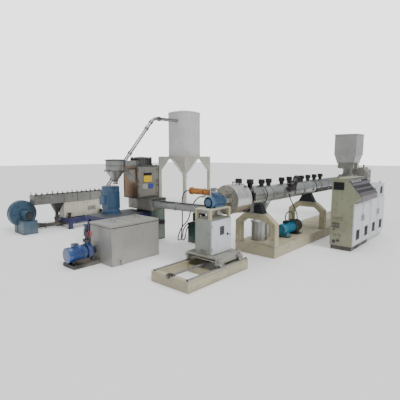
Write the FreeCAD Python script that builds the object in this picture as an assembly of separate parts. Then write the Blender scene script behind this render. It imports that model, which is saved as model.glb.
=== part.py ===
"""Plastic extruder pelletising line: extruder, pelletiser trolley, water tank, dewatering unit,
vibrating screen, blower and silo, laid out as they stand on the factory floor.

Frame: millimetres, +Z up, +X along the barrel from the die towards the drive, origin on the floor
under the barrel axis, at the middle of the front portal. Every unit stands on Z = 0.
"""
import FreeCAD, Part
import math
import os
from FreeCAD import Vector

# ---- shared values ---------------------------------------------------------------------------
AXIS_Z = 1085.0            # barrel axis above the floor
RUN_GAP = 6.0              # clearance between a moving piece and what it passes
SEAT_GAP = 0.3             # gap left where a moving piece rests on a fixed one
HOSE_R = 11.0              # hydraulic hoses
VACUUM_HOSE_R = 10.0
SHEET = 4.0                # folded stainless sheet


# ---- extruder base and portals ---------------------------------------------------------------
BASE_LENGTH = 5600.0
BASE_WIDTH = 840.0
BASE_HEIGHT = 190.0
BASE_BEAM = 130.0          # width of the edge and cross beams
BASE_DECK = 12.0
BASE_BAYS = 8
PORTAL_DEPTH = 130.0
PORTAL_LEG = 105.0
PORTAL_SHOULDER = 405.0    # height of the straight leg above the base
PORTAL_HEIGHT = 565.0      # height of the portal above the base
PORTAL_TOP_WIDTH = 450.0
PORTAL_TOP_BEAM = 105.0
PORTAL_PITCH = 2100.0      # front portal to rear portal
SADDLE_FOOT_X = 150.0
SADDLE_FOOT_Y = 370.0
SADDLE_HEAD = (100.0, 145.0)

# ---- barrel ----------------------------------------------------------------------------------
BARREL_R = 100.0
FRONT_COVER_R = 172.0
COVER_R = 150.0
FRONT_COVER_END = 70.0
MIDDLE_COVER_END = 2230.0
REAR_COVER_END = 4360.0
COVER_GAP = 4.0
TERMINAL_X = (140.0, 386.0, 882.0, 1195.0, 1756.0, 2075.0, 2409.0, 2747.0)
TERMINAL_SIZE = (82.0, 84.0, 72.0)
TERMINAL_NECK = (58.0, 60.0, 50.0)
NECK_ROOT = 30.0           # how far a neck reaches below the crown it is cut to
CHANGER_BOX_Y = 118.0
VENT_X = 985.0             # low end of the inclined vent body
VENT_Y = -135.0
VENT_RISE_DEG = 30.0
VENT_R = 60.0
VENT_LENGTH = 340.0
DRIP_FUNNEL_X = 290.0
DRIP_FUNNEL_R = 105.0
DRIP_FUNNEL_H = 190.0

# ---- die end ---------------------------------------------------------------------------------
CHANGER_X = -465.0          # die-side face of the screen changer
CHANGER_THICK = 105.0
CHANGER_WIDTH = 330.0
CHANGER_DROP = 245.0       # below the barrel axis
CHANGER_RISE = 160.0       # above the barrel axis
DIE_R = 120.0
RAM_R = 60.0
RAM_Y = 705.0          # near end of the hydraulic cylinder
RAM_LENGTH = 530.0
RAM_ROD_R = 24.0
RAM_Z = AXIS_Z + 27.0

# ---- pelletiser drum and trolley -------------------------------------------------------------
DRUM_R = 235.0
DRUM_LENGTH = 370.0
DRUM_WALL = 6.0
DRUM_RIM = 14.0            # how far the rear flange stands out
DRUM_BACK_X = -540.0
CUTTER_MOTOR_R = 84.0
CUTTER_MOTOR_LENGTH = 350.0
LANTERN_LENGTH = 105.0
TROLLEY_X = (-2192.0, -805.0)
TROLLEY_WIDTH = 726.0
TROLLEY_HEIGHT = 160.0
TROLLEY_CHANNEL = 80.0
RAIL_R = 20.0
SLIDE_TRAVEL = 600.0
WHEEL_R = 55.0
WHEEL_WIDTH = 46.0
WHEEL_X = (-1460.0, -985.0)
AXLE_R = 15.0
AXLE_FIT = 0.08
CARRIAGE_PLATE = 20.0
CARRIAGE_X = (-1530.0, -915.0)
CABINET_X = (-1478.0, -984.0)
CABINET_WIDTH = 320.0
CABINET_HEIGHT = 535.0
DOOR_THICK = 18.0
DOOR_GAP = 2.0
STAND_ANGLE = 40.0
SCREW_R = 17.0
GUSSET = 95.0

# ---- trough and water tank -------------------------------------------------------------------
TROUGH_X = -765.0
TROUGH_WIDTH = 200.0
TROUGH_DEPTH = 110.0
TROUGH_START_Y = 190.0
TROUGH_RIM_Z = AXIS_Z - 170.0
TROUGH_FALL = 30.0
TROUGH_POST = 50.0
TROUGH_POST_Y = 420.0
TANK_X = (-2212.0, -1217.0)
TANK_Y = (1300.0, 1920.0)
TANK_HEIGHT = 665.0
PUMP_Y = 1810.0
PUMP_AXIS_Z = 205.0
PUMP_MOTOR_R = 118.0
SKID_LENGTH = 480.0
SKID_HALF = 180.0
SKID_PLATE = 55.0
SUCTION_R = 38.0
DELIVERY_R = 30.0
DELIVERY_FLANGE_R = 66.0

# ---- dewatering unit -------------------------------------------------------------------------
PLATFORM_X = (-1790.0, -690.0)
PLATFORM_Y = (2100.0, 2760.0)
PLATFORM_Z = 640.0
PLATFORM_RIM = 70.0
PANEL_BOX_X = (-690.0, -285.0)
PANEL_BOX_Z = 706.0
INLET_BOX_X = (-900.0, -520.0)
INLET_BOX_Y = 1850.0
INLET_BOX_Z = (PANEL_BOX_Z, TROUGH_RIM_Z + 21.0)
HOUSING_X = (-1000.0, -434.0)
HOUSING_Y = (2152.0, 2590.0)
HOUSING_Z = (INLET_BOX_Z[1], 1585.0)
ROTOR_CAP_R = 205.0
ROTOR_CAP_H = 150.0
UPRIGHT_MOTOR = (-1353.0, 2560.0)
UPRIGHT_MOTOR_R = 165.0
UPRIGHT_MOTOR_H = 546.0
BOWL_X = -1410.0
BOWL_Y = 2300.0
BOWL_R = 175.0
BOWL_TOP_Z = 1705.0
BOWL_DEPTH = 207.0

# ---- vibrating screen, blower and air line ---------------------------------------------------
AIR_Y = 5140.0
AIR_Z = 75.0
AIR_R = 50.0
TRAY_X = (-1915.0, 260.0)
TRAY_Y = (4800.0, 5055.0)
TRAY_Z = (640.0, 850.0)
SCREEN_BOX_X = (-1195.0, -165.0)
SCREEN_BOX_Z = (255.0, TRAY_Z[0])
STAND_BEAM_Z = (140.0, SCREEN_BOX_Z[0])
STAND_Y = (4560.0, 5300.0)
STAND_BEAM = 80.0
FUNNEL_X = -1325.0
FUNNEL_W = 250.0
FUNNEL_NECK_R = 42.0
FUNNEL_FOOT_X = -1255.0
BLOWER_X = -2070.0
BLOWER_Z = 437.0
BLOWER_R = 300.0
BLOWER_WIDTH = 150.0
PEDESTAL_DEPTH = 365.0
PEDESTAL_TOP = 300.0
RISER_START_X = -587.0
RISER_DEG = 49.0
RISER_R = 50.0
RISER_TOP_Z = 2941.0

# ---- silo ------------------------------------------------------------------------------------
SILO_CENTRE = (3595.0, 5310.0)
SILO_R = 550.0
SILO_WALL = 6.0
SILO_Z = (1748.0, 3240.0)
SILO_FRAME = 1300.0
SILO_LEG = 80.0
SILO_CONE_Z = 1000.0
SILO_OUTLET_R = 60.0
SILO_SPIGOT = 80.0
SILO_RING_H = 90.0
SILO_GUSSET = 450.0
SILO_PLATE = 8.0

# ---- control cabinets ------------------------------------------------------------------------
CONSOLE_X = (1280.0, 2297.0)
REAR_CABINET_X = (CONSOLE_X[1], 3310.0)
CABINETS_BACK_Y = -855.0
CABINETS_FRONT_Y = -1287.0
CONSOLE_LIP_Y = -1405.0
CONSOLE_BROW_Y = -1120.0
CONSOLE_UNDER_Z = 930.0
CONSOLE_LIP_Z = 1030.0
CONSOLE_TOP_Z = 1365.0
REAR_CABINET_Z = 1170.0
PLINTH_H = 80.0
PLINTH_STEP = 15.0
CABINET_DOOR_BOTTOM = 100.0
CABINET_DOOR_TOP = 900.0
CABINET_DOOR_EDGE = 14.0

# ---- drive end -------------------------------------------------------------------------------
THROAT_X = (4440.0, 4790.0)
THROAT_HALF = 175.0
HOPPER_X = 4615.0
HOPPER_HALF = 285.0
HOPPER_Z = (AXIS_Z + 730.0, AXIS_Z + 1270.0)
HOPPER_WAIST_Z = AXIS_Z + 505.0
HOPPER_WAIST_HALF = 225.0
FEEDER_HALF = 200.0
FEEDER_Z = (AXIS_Z + 355.0, AXIS_Z + 495.0)
FEEDER_SHAFT_R = 62.0
FEEDER_SHAFT_LENGTH = 520.0
GEARBOX_X = (4935.0, 5440.0)
GEARBOX_Y = (-370.0, 190.0)
CHEEK = 60.0
GEARBOX_Z = (AXIS_Z - 385.0, AXIS_Z + 315.0)
DRIVE_MOTOR_R = 215.0
DRIVE_MOTOR_X = (4300.0, 5440.0)
DRIVE_MOTOR_Z = 440.0
GUARD_THICK = 95.0


def box(x, y, z):
    """Box between the two values of each pair."""
    size = (x[1] - x[0], y[1] - y[0], z[1] - z[0])
    return Part.makeBox(*size, Vector(x[0], y[0], z[0]))


def rod(radius, start, end):
    """Cylinder between two points."""
    a = Vector(*start)
    b = Vector(*end)
    return Part.makeCylinder(radius, (b - a).Length, a, b - a)


def tube(outer, inner, start, end):
    """Hollow cylinder between two points."""
    return rod(outer, start, end).cut(rod(inner, start, end))


def cone(radius_a, radius_b, start, end):
    """Cone frustum between two points."""
    a = Vector(*start)
    b = Vector(*end)
    return Part.makeCone(radius_a, radius_b, (b - a).Length, a, b - a)


def prism(points, depth):
    """Prism of an outline of 3-D points, pushed along the vector depth."""
    corners = [Vector(*p) for p in points]
    face = Part.Face(Part.makePolygon(corners + corners[:1]))
    return face.extrude(Vector(*depth))


def frustum(low, low_z, high, high_z, centre):
    """Upright four-sided frustum: low and high are half widths (x, y)."""
    wires = []
    for (half_x, half_y), z in ((low, low_z), (high, high_z)):
        corners = []
        for sx, sy in ((-1, -1), (1, -1), (1, 1), (-1, 1)):
            corners.append(Vector(centre[0] + sx * half_x, centre[1] + sy * half_y, z))
        wires.append(Part.makePolygon(corners + corners[:1]))
    return Part.makeLoft(wires, True, True)


def fuse(shapes):
    """One solid from touching or overlapping shapes."""
    joined = shapes[0]
    for shape in shapes[1:]:
        joined = joined.fuse(shape)
    return joined.removeSplitter()


def group(shapes):
    """One node of several solids that do not touch."""
    return Part.makeCompound(shapes)


def save(name, shape):
    """Write one node."""
    shape.exportStep("parts/" + name + ".step")
    print(f"{name:26s} solids {len(shape.Solids):2d}  volume {shape.Volume / 1e6:10.2f} dm3")


def corner_radius(before, corner, after):
    """Arc radius at a route's corner, as large as its shorter run allows, and half its turn."""
    into = corner - before
    out = after - corner
    half_turn = into.getAngle(out) / 2.0
    shorter = min(into.Length, out.Length)
    return 0.45 * shorter / math.tan(half_turn), half_turn


def hose(points, radius, name):
    """Solid hose along straight runs joined by tangent arcs."""
    route = [Vector(*p) for p in points]
    edges = []
    start = route[0]
    radii = []
    for before, corner, after in zip(route, route[1:], route[2:]):
        bend, half_turn = corner_radius(before, corner, after)
        radii.append(round(bend))
        back = bend * math.tan(half_turn)
        into = (corner - before).normalize()
        out = (after - corner).normalize()
        enter = corner - into * back
        leave = corner + out * back
        inward = (out - into).normalize()
        middle = corner + inward * (bend / math.cos(half_turn) - bend)
        edges.append(Part.LineSegment(start, enter).toShape())
        edges.append(Part.Arc(enter, middle, leave).toShape())
        start = leave
    edges.append(Part.LineSegment(start, route[-1]).toShape())
    path = Part.Wire(edges)
    profile = Part.Wire(Part.makeCircle(radius, route[0], route[1] - route[0]))
    solid = path.makePipeShell([profile], True, False)
    expected = math.pi * radius ** 2 * path.Length
    print(f"{name}: length {path.Length:.0f} radii {radii} volume ratio {solid.Volume / expected:.4f}")
    return solid


# ---- extruder --------------------------------------------------------------------------------
CHANGER_MID_X = CHANGER_X + CHANGER_THICK / 2
COVERS_START = CHANGER_X + CHANGER_THICK + COVER_GAP
BASE_X = (-PORTAL_DEPTH / 2, BASE_LENGTH - PORTAL_DEPTH / 2)
HALF_BASE = BASE_WIDTH / 2
PORTAL_X = (0.0, PORTAL_PITCH)
PORTAL_TOP_Z = BASE_HEIGHT + PORTAL_HEIGHT


def extruder_base():
    """Beam frame closed by a deck, open from below between its cross beams."""
    frame = box(BASE_X, (-HALF_BASE, HALF_BASE), (0, BASE_HEIGHT))
    pitch = (BASE_LENGTH - BASE_BEAM) / BASE_BAYS
    inner = HALF_BASE - BASE_BEAM
    for bay in range(BASE_BAYS):
        start = BASE_X[0] + BASE_BEAM + bay * pitch
        bay_x = (start, start + pitch - BASE_BEAM)
        frame = frame.cut(box(bay_x, (-inner, inner), (0, BASE_HEIGHT - BASE_DECK)))
    return frame


def portal_arch(x):
    """Welded arch with cut-off shoulders that carries the barrel."""
    shoulder_z = BASE_HEIGHT + PORTAL_SHOULDER
    half_top = PORTAL_TOP_WIDTH / 2
    slope = math.atan2(PORTAL_TOP_Z - shoulder_z, HALF_BASE - half_top)
    drop = PORTAL_LEG * math.tan((math.pi / 2 - slope) / 2)
    inner_leg = HALF_BASE - PORTAL_LEG
    inner_top = half_top - PORTAL_TOP_BEAM * math.tan(slope / 2)
    x0 = x - PORTAL_DEPTH / 2
    outline = [
        (x0, HALF_BASE, BASE_HEIGHT), (x0, HALF_BASE, shoulder_z), (x0, half_top, PORTAL_TOP_Z),
        (x0, -half_top, PORTAL_TOP_Z), (x0, -HALF_BASE, shoulder_z), (x0, -HALF_BASE, BASE_HEIGHT),
        (x0, -inner_leg, BASE_HEIGHT), (x0, -inner_leg, shoulder_z - drop),
        (x0, -inner_top, PORTAL_TOP_Z - PORTAL_TOP_BEAM), (x0, inner_top, PORTAL_TOP_Z - PORTAL_TOP_BEAM),
        (x0, inner_leg, shoulder_z - drop), (x0, inner_leg, BASE_HEIGHT),
    ]
    return prism(outline, (PORTAL_DEPTH, 0, 0))


def portals():
    """Front and rear portal on the base."""
    return group([portal_arch(x) for x in PORTAL_X])


def barrel_saddles():
    """Two tapered cast blocks between the portals and the barrel covers."""
    saddles = []
    for x, radius in ((PORTAL_X[0], FRONT_COVER_R), (PORTAL_X[1], COVER_R)):
        low = (SADDLE_FOOT_X / 2, SADDLE_FOOT_Y / 2)
        high = (SADDLE_HEAD[0] / 2, SADDLE_HEAD[1] / 2)
        block = frustum(low, PORTAL_TOP_Z, high, AXIS_Z - radius * 0.75, (x, 0))
        seat = rod(radius, (x - SADDLE_FOOT_X, 0, AXIS_Z), (x + SADDLE_FOOT_X, 0, AXIS_Z))
        saddles.append(block.cut(seat))
    return group(saddles)


def barrel():
    """Steel barrel from the screen changer to the gearbox."""
    return rod(BARREL_R, (CHANGER_X + CHANGER_THICK, 0, AXIS_Z), (GEARBOX_X[0], 0, AXIS_Z))


def cover(radius, start, end):
    """One length of the insulated barrel cover."""
    return tube(radius, BARREL_R, (start, 0, AXIS_Z), (end, 0, AXIS_Z))


def drip_funnel():
    """Drip funnel under the middle cover."""
    top_z = AXIS_Z - COVER_R + 30
    low_z = top_z - DRIP_FUNNEL_H
    body = cone(14, DRIP_FUNNEL_R, (DRIP_FUNNEL_X, 0, low_z), (DRIP_FUNNEL_X, 0, top_z))
    return body.cut(rod(BARREL_R, (FRONT_COVER_END, 0, AXIS_Z), (MIDDLE_COVER_END, 0, AXIS_Z)))


def barrel_covers():
    """Three lengths of cover; the middle one carries the drip funnel."""
    front = cover(FRONT_COVER_R, COVERS_START, FRONT_COVER_END)
    middle = cover(COVER_R, FRONT_COVER_END + COVER_GAP, MIDDLE_COVER_END)
    rear = cover(COVER_R, MIDDLE_COVER_END + COVER_GAP, REAR_COVER_END)
    return group([front, fuse([middle, drip_funnel()]), rear])


def terminal_box(x, seat_z):
    """Heater terminal box on its neck; the neck starts inside the seat and is cut to it later."""
    neck_x, neck_y, neck_h = TERMINAL_NECK
    box_x, box_y, box_h = TERMINAL_SIZE
    neck_z = (seat_z - NECK_ROOT, seat_z + neck_h)
    neck = box((x - neck_x / 2, x + neck_x / 2), (-neck_y / 2, neck_y / 2), neck_z)
    top_z = seat_z + neck_h
    head = box((x - box_x / 2, x + box_x / 2), (-box_y / 2, box_y / 2), (top_z, top_z + box_h))
    return neck.fuse(head)


def heater_terminal_boxes():
    """Row of heater terminal boxes on the covers and the screen changer."""
    boxes = []
    for x in TERMINAL_X:
        seat = rod(COVER_R, (x - TERMINAL_SIZE[0], 0, AXIS_Z), (x + TERMINAL_SIZE[0], 0, AXIS_Z))
        boxes.append(terminal_box(x, AXIS_Z + COVER_R).cut(seat))
    changer_top = AXIS_Z + CHANGER_RISE
    for y in (-CHANGER_BOX_Y, CHANGER_BOX_Y):
        on_top = terminal_box(CHANGER_MID_X, changer_top)
        on_top.translate(Vector(0, y, NECK_ROOT))
        boxes.append(on_top)
    return group(boxes)


VENT_STUB = Vector(862.0, -190.0, AXIS_Z + 5)


def vent_port():
    """Devolatilising vent: pad on the cover, inclined body with an end flange, arm and hose stub."""
    rise = math.radians(VENT_RISE_DEG)
    along = Vector(math.cos(rise), 0, math.sin(rise))
    start = Vector(VENT_X, VENT_Y, AXIS_Z + 65)
    end = start + along * VENT_LENGTH
    collar = end - along * 35
    pad = box((VENT_X - 30, VENT_X + 190), (VENT_Y - 45, VENT_Y + 45), (AXIS_Z + 20, AXIS_Z + 150))
    arm_x = (VENT_STUB.x - 30, VENT_X)
    arm = box(arm_x, (VENT_STUB.y - 28, VENT_Y + 15), (VENT_STUB.z + 30, VENT_STUB.z + 88))
    stub = rod(VACUUM_HOSE_R + 5, VENT_STUB, VENT_STUB + Vector(0, 0, 40))
    body = fuse([pad, arm, stub, rod(VENT_R, start, end), rod(VENT_R + 16, collar, end)])
    return body.cut(rod(COVER_R, (VENT_X - 400, 0, AXIS_Z), (VENT_X + 400, 0, AXIS_Z)))


VACUUM_Y = -105.0
VACUUM_X = (700.0, 1400.0)
VACUUM_R = 98.0
VACUUM_AXIS_Z = BASE_HEIGHT + 160.0
VACUUM_PORT_X = 1190.0
VACUUM_PORT_Z = 483.0
VACUUM_PORT_REACH = 100.0


def vacuum_pump():
    """Liquid-ring vacuum pump with its motor on one shaft, on two feet."""
    motor_end = VACUUM_X[0] + 450
    head_x = (motor_end, VACUUM_X[1])
    port = (VACUUM_PORT_X, VACUUM_Y, VACUUM_PORT_Z)
    body = [
        rod(VACUUM_R, (VACUUM_X[0], VACUUM_Y, VACUUM_AXIS_Z), (motor_end, VACUUM_Y, VACUUM_AXIS_Z)),
        rod(VACUUM_R + 18, (head_x[0], VACUUM_Y, VACUUM_AXIS_Z), (head_x[1], VACUUM_Y, VACUUM_AXIS_Z)),
        rod(20, (VACUUM_PORT_X, VACUUM_Y, VACUUM_AXIS_Z), port),
        rod(20, port, (VACUUM_PORT_X - VACUUM_PORT_REACH, VACUUM_Y, VACUUM_PORT_Z)),
    ]
    for foot in (VACUUM_X[0] + 90, VACUUM_X[1] - 160):
        foot_z = (BASE_HEIGHT, VACUUM_AXIS_Z - 60)
        body.append(box((foot, foot + 90), (VACUUM_Y - 100, VACUUM_Y + 100), foot_z))
    return fuse(body)


SEPARATOR_TANKS = ((330.0, 150.0, 145.0, 350.0), (640.0, 190.0, 110.0, 330.0))


def separator_tanks():
    """Upright vacuum separator tanks standing on the base."""
    tanks = []
    for x, y, radius, height in SEPARATOR_TANKS:
        tanks.append(rod(radius, (x, y, BASE_HEIGHT), (x, y, BASE_HEIGHT + height)))
    return group(tanks)


def screen_changer():
    """Slide-plate screen changer body between the barrel and the die, with the die head on it."""
    half = CHANGER_WIDTH / 2
    x = (CHANGER_X, CHANGER_X + CHANGER_THICK)
    plate = box(x, (-half, half), (AXIS_Z - CHANGER_DROP, AXIS_Z + CHANGER_RISE))
    wing = box((x[0] + 15, x[1] - 15), (half, half + 120), (RAM_Z - 95, RAM_Z + 95))
    return fuse([plate, wing, die_head()])


def die_head():
    """Die body and its hot-face plate."""
    body = rod(DIE_R, (DRUM_BACK_X + RUN_GAP + 30, 0, AXIS_Z), (CHANGER_X, 0, AXIS_Z))
    plate = rod(DIE_R + 55, (DRUM_BACK_X + RUN_GAP, 0, AXIS_Z), (DRUM_BACK_X + RUN_GAP + 40, 0, AXIS_Z))
    return fuse([body, plate])


RAM_END_Y = RAM_Y + RAM_LENGTH
RAM_PORT_Y = 883.0
RAM_PORT_Z = 1018.0
FITTING_R = 17.0
FITTING_LENGTH = 30.0
PRESSURE_START = (CHANGER_MID_X, RAM_END_Y + FITTING_LENGTH, RAM_Z)
RETURN_START = (CHANGER_MID_X, RAM_PORT_Y + 47.0, RAM_PORT_Z)


def changer_cylinder():
    """Hydraulic cylinder of the screen changer, with a fitting at its end and an elbow below."""
    elbow = (CHANGER_MID_X, RAM_PORT_Y, RAM_PORT_Z)
    return fuse([
        rod(RAM_R, (CHANGER_MID_X, RAM_Y, RAM_Z), (CHANGER_MID_X, RAM_END_Y, RAM_Z)),
        rod(FITTING_R, (CHANGER_MID_X, RAM_END_Y, RAM_Z), PRESSURE_START),
        rod(FITTING_R, (CHANGER_MID_X, RAM_PORT_Y, RAM_Z), elbow),
        rod(FITTING_R, elbow, RETURN_START),
        Part.makeSphere(FITTING_R, Vector(*elbow)),
    ])


def changer_bracket():
    """Ram rod, tie rods and end plates that hold the cylinder off the screen changer."""
    near = CHANGER_WIDTH / 2 + 120
    reach = (CHANGER_MID_X - 70, CHANGER_MID_X + 70)
    height = (RAM_Z - 90, RAM_Z + 90)
    pieces = [
        rod(RAM_ROD_R, (CHANGER_MID_X, near, RAM_Z), (CHANGER_MID_X, RAM_Y, RAM_Z)),
        box(reach, (RAM_Y - 25, RAM_Y), height),
        box(reach, (near, near + 25), height),
    ]
    for dx in (-50, 50):
        for dz in (-70, 70):
            a = (CHANGER_MID_X + dx, near, RAM_Z + dz)
            b = (CHANGER_MID_X + dx, RAM_Y, RAM_Z + dz)
            pieces.append(rod(11, a, b))
    return fuse(pieces)


UNIT_X = (-190.0, 360.0)
UNIT_Y = (1140.0, 1540.0)
UNIT_H = 405.0
VALVES_X = (-100.0, 110.0)
VALVES_Y = (1320.0, 1485.0)
VALVES_TOP_Z = 612.0
UNIT_PORT_Z = 440.0
PRESSURE_PORT_Y = 1375.0
RETURN_PORT_Y = 1430.0


def hydraulic_unit():
    """Hydraulic power pack: oil tank and the valve and motor block on it with two hose fittings."""
    pieces = [box(UNIT_X, UNIT_Y, (0, UNIT_H)), box(VALVES_X, VALVES_Y, (UNIT_H, VALVES_TOP_Z))]
    for y in (PRESSURE_PORT_Y, RETURN_PORT_Y):
        face = Vector(VALVES_X[0], y, UNIT_PORT_Z)
        pieces.append(rod(FITTING_R, face - Vector(FITTING_LENGTH, 0, 0), face))
    return fuse(pieces)


# ---- drive end -------------------------------------------------------------------------------
def feed_throat():
    """Water-cooled feed block around the barrel, on its foot, with the force feeder on top."""
    block = box(THROAT_X, (-THROAT_HALF, THROAT_HALF), (AXIS_Z - THROAT_HALF, AXIS_Z + THROAT_HALF))
    foot = box((THROAT_X[0] + 60, THROAT_X[1] - 60), (-120, 120), (BASE_HEIGHT, AXIS_Z - THROAT_HALF))
    bore = rod(BARREL_R, (THROAT_X[0], 0, AXIS_Z), (THROAT_X[1], 0, AXIS_Z))
    motor_top = DRIVE_MOTOR_Z + DRIVE_MOTOR_R
    above_motor = box((DRIVE_MOTOR_X[0] - 10, THROAT_X[1]), (-300, 300), (0, motor_top + 20))
    return fuse([block, foot, force_feeder()]).cut(bore).cut(above_motor)


def force_feeder():
    """Feeder body under the hopper, its cross shaft housing, and the neck down to the feed block."""
    neck_half = 95.0
    neck_z = (AXIS_Z + THROAT_HALF, FEEDER_Z[0])
    wide = (HOPPER_X - FEEDER_HALF, HOPPER_X + FEEDER_HALF)
    mid_z = sum(FEEDER_Z) / 2
    reach = FEEDER_SHAFT_LENGTH / 2
    return fuse([
        box((HOPPER_X - neck_half, HOPPER_X + neck_half), (-neck_half, neck_half), neck_z),
        box(wide, (-FEEDER_HALF, FEEDER_HALF), FEEDER_Z),
        rod(FEEDER_SHAFT_R, (HOPPER_X, -reach, mid_z), (HOPPER_X, reach, mid_z)),
    ])


def hopper():
    """Open square feed hopper: straight walls over a pyramid that stands on the feeder's flange."""
    centre = (HOPPER_X, 0)
    half = HOPPER_HALF
    low = HOPPER_WAIST_HALF
    x = (HOPPER_X - half, HOPPER_X + half)
    skin = SHEET
    outer = box(x, (-half, half), HOPPER_Z)
    outer = outer.fuse(frustum((low, low), HOPPER_WAIST_Z, (half, half), HOPPER_Z[0], centre))
    inner = box((x[0] + skin, x[1] - skin), (skin - half, half - skin), (HOPPER_Z[0], HOPPER_Z[1] + 1))
    inner = inner.fuse(frustum((low - skin,) * 2, HOPPER_WAIST_Z, (half - skin,) * 2, HOPPER_Z[0], centre))
    flange_x = (HOPPER_X - low - 12, HOPPER_X + low + 12)
    flange_z = (FEEDER_Z[1], HOPPER_WAIST_Z)
    flange = box(flange_x, (-low - 12, low + 12), flange_z)
    bore = low - 60
    mouth = box((HOPPER_X - bore, HOPPER_X + bore), (-bore, bore), (flange_z[0] - 1, flange_z[1] + 1))
    return outer.cut(inner).fuse(flange).cut(mouth)


def gearbox():
    """Reduction gearbox at the barrel's end."""
    case = box(GEARBOX_X, GEARBOX_Y, GEARBOX_Z)
    lid_x = (GEARBOX_X[0] + 40, GEARBOX_X[1] - 40)
    lid = box(lid_x, (GEARBOX_Y[0] + 60, GEARBOX_Y[1] - 60), (GEARBOX_Z[1], GEARBOX_Z[1] + 50))
    return fuse([case, lid])


def gearbox_stand():
    """Two cheeks that carry the gearbox over the drive motor."""
    near = (GEARBOX_Y[0], GEARBOX_Y[0] + CHEEK)
    far = (DRIVE_MOTOR_R + 20, DRIVE_MOTOR_R + 20 + CHEEK)
    shelf = (GEARBOX_Z[0] - 30, GEARBOX_Z[0])
    cheeks = [box(GEARBOX_X, y, (BASE_HEIGHT, shelf[0])) for y in (near, far)]
    return fuse(cheeks + [box(GEARBOX_X, (near[0], far[1]), shelf)])


def main_motor():
    """Drive motor between the stand's cheeks, on its feet."""
    body = rod(DRIVE_MOTOR_R, (DRIVE_MOTOR_X[0], 0, DRIVE_MOTOR_Z), (DRIVE_MOTOR_X[1], 0, DRIVE_MOTOR_Z))
    feet = []
    for x in (DRIVE_MOTOR_X[0] + 200, DRIVE_MOTOR_X[1] - 400):
        feet.append(box((x, x + 160), (-200, 200), (BASE_HEIGHT, DRIVE_MOTOR_Z - 60)))
    return fuse([body] + feet)


def belt_guard():
    """Guard of the belt drive from the motor up to the gearbox."""
    x = (GEARBOX_X[1], GEARBOX_X[1] + GUARD_THICK)
    low = rod(DRIVE_MOTOR_R, (x[0], 0, DRIVE_MOTOR_Z), (x[1], 0, DRIVE_MOTOR_Z))
    high = rod(DRIVE_MOTOR_R, (x[0], 0, AXIS_Z), (x[1], 0, AXIS_Z))
    middle = box(x, (-DRIVE_MOTOR_R, DRIVE_MOTOR_R), (DRIVE_MOTOR_Z, AXIS_Z))
    return fuse([low, middle, high])


# ---- control cabinets ------------------------------------------------------------------------
BODY_FRONT_Y = CABINETS_FRONT_Y + DOOR_THICK + DOOR_GAP


def console_head():
    """Cabinet whose head leans out over its doors as an operating console."""
    x0 = CONSOLE_X[0]
    outline = [
        (x0, CABINETS_BACK_Y, PLINTH_H), (x0, BODY_FRONT_Y, PLINTH_H), (x0, BODY_FRONT_Y, CONSOLE_UNDER_Z),
        (x0, CONSOLE_LIP_Y, CONSOLE_LIP_Z), (x0, CONSOLE_BROW_Y, CONSOLE_TOP_Z),
        (x0, CABINETS_BACK_Y, CONSOLE_TOP_Z),
    ]
    return prism(outline, (CONSOLE_X[1] - x0, 0, 0))


def control_cabinets():
    """Console cabinet and lower power cabinet, bolted side by side on one plinth."""
    rear = box(REAR_CABINET_X, (BODY_FRONT_Y, CABINETS_BACK_Y), (PLINTH_H, REAR_CABINET_Z))
    plinth_x = (CONSOLE_X[0] + PLINTH_STEP, REAR_CABINET_X[1] - PLINTH_STEP)
    plinth = box(plinth_x, (BODY_FRONT_Y + PLINTH_STEP, CABINETS_BACK_Y - PLINTH_STEP), (0, PLINTH_H))
    return fuse([console_head(), rear, plinth])


def cabinet_door(section, leaf):
    """One leaf of a cabinet's double door."""
    middle = (section[0] + section[1]) / 2
    if leaf == 0:
        x = (section[0] + DOOR_GAP, middle - RUN_GAP / 2)
    else:
        x = (middle + RUN_GAP / 2, section[1] - DOOR_GAP - RUN_GAP / 2)
    return box(x, (CABINETS_FRONT_Y, CABINETS_FRONT_Y + DOOR_THICK), (CABINET_DOOR_BOTTOM, CABINET_DOOR_TOP))


# ---- pelletiser trolley ----------------------------------------------------------------------
HALF_TROLLEY = TROLLEY_WIDTH / 2
RAIL_Y = HALF_TROLLEY - TROLLEY_CHANNEL / 2
WHEEL_Z = TROLLEY_HEIGHT + RAIL_R + WHEEL_R + SEAT_GAP
DECK_TOP = WHEEL_Z + WHEEL_R + 17.0
DECK_HALF = RAIL_Y - WHEEL_WIDTH / 2 - 5.0
SCREW_Z = TROLLEY_HEIGHT - 5.0
CUTTER_Z = AXIS_Z
STAND_TOP = CUTTER_Z - CUTTER_MOTOR_R - 6.0
CABINET_TOP = DECK_TOP + CABINET_HEIGHT


def trolley_side_rails():
    """The two long channels, each with its round-topped rail."""
    sides = []
    for side in (-1, 1):
        y = sorted((side * (HALF_TROLLEY - TROLLEY_CHANNEL), side * HALF_TROLLEY))
        rail_y = side * RAIL_Y
        rail = rod(RAIL_R, (TROLLEY_X[0], rail_y, TROLLEY_HEIGHT), (TROLLEY_X[1], rail_y, TROLLEY_HEIGHT))
        sides.append(box(TROLLEY_X, y, (0, TROLLEY_HEIGHT)).fuse(rail).removeSplitter())
    return group(sides)


def trolley_cross_channels():
    """End channels and the middle cross member."""
    inner = HALF_TROLLEY - TROLLEY_CHANNEL
    middle = (TROLLEY_X[0] + TROLLEY_X[1]) / 2
    starts = (TROLLEY_X[0], middle - TROLLEY_CHANNEL / 2, TROLLEY_X[1] - TROLLEY_CHANNEL)
    members = []
    for start in starts:
        top = TROLLEY_HEIGHT if start != starts[1] else TROLLEY_HEIGHT - 60
        member = box((start, start + TROLLEY_CHANNEL), (-inner, inner), (0, top))
        members.append(member.cut(screw_bar(start - 10, start + TROLLEY_CHANNEL + 10)))
    return group(members)


def screw_bar(start, end):
    """Round of the lead screw between two stations."""
    return rod(SCREW_R, (start, 0, SCREW_Z), (end, 0, SCREW_Z))


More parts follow.
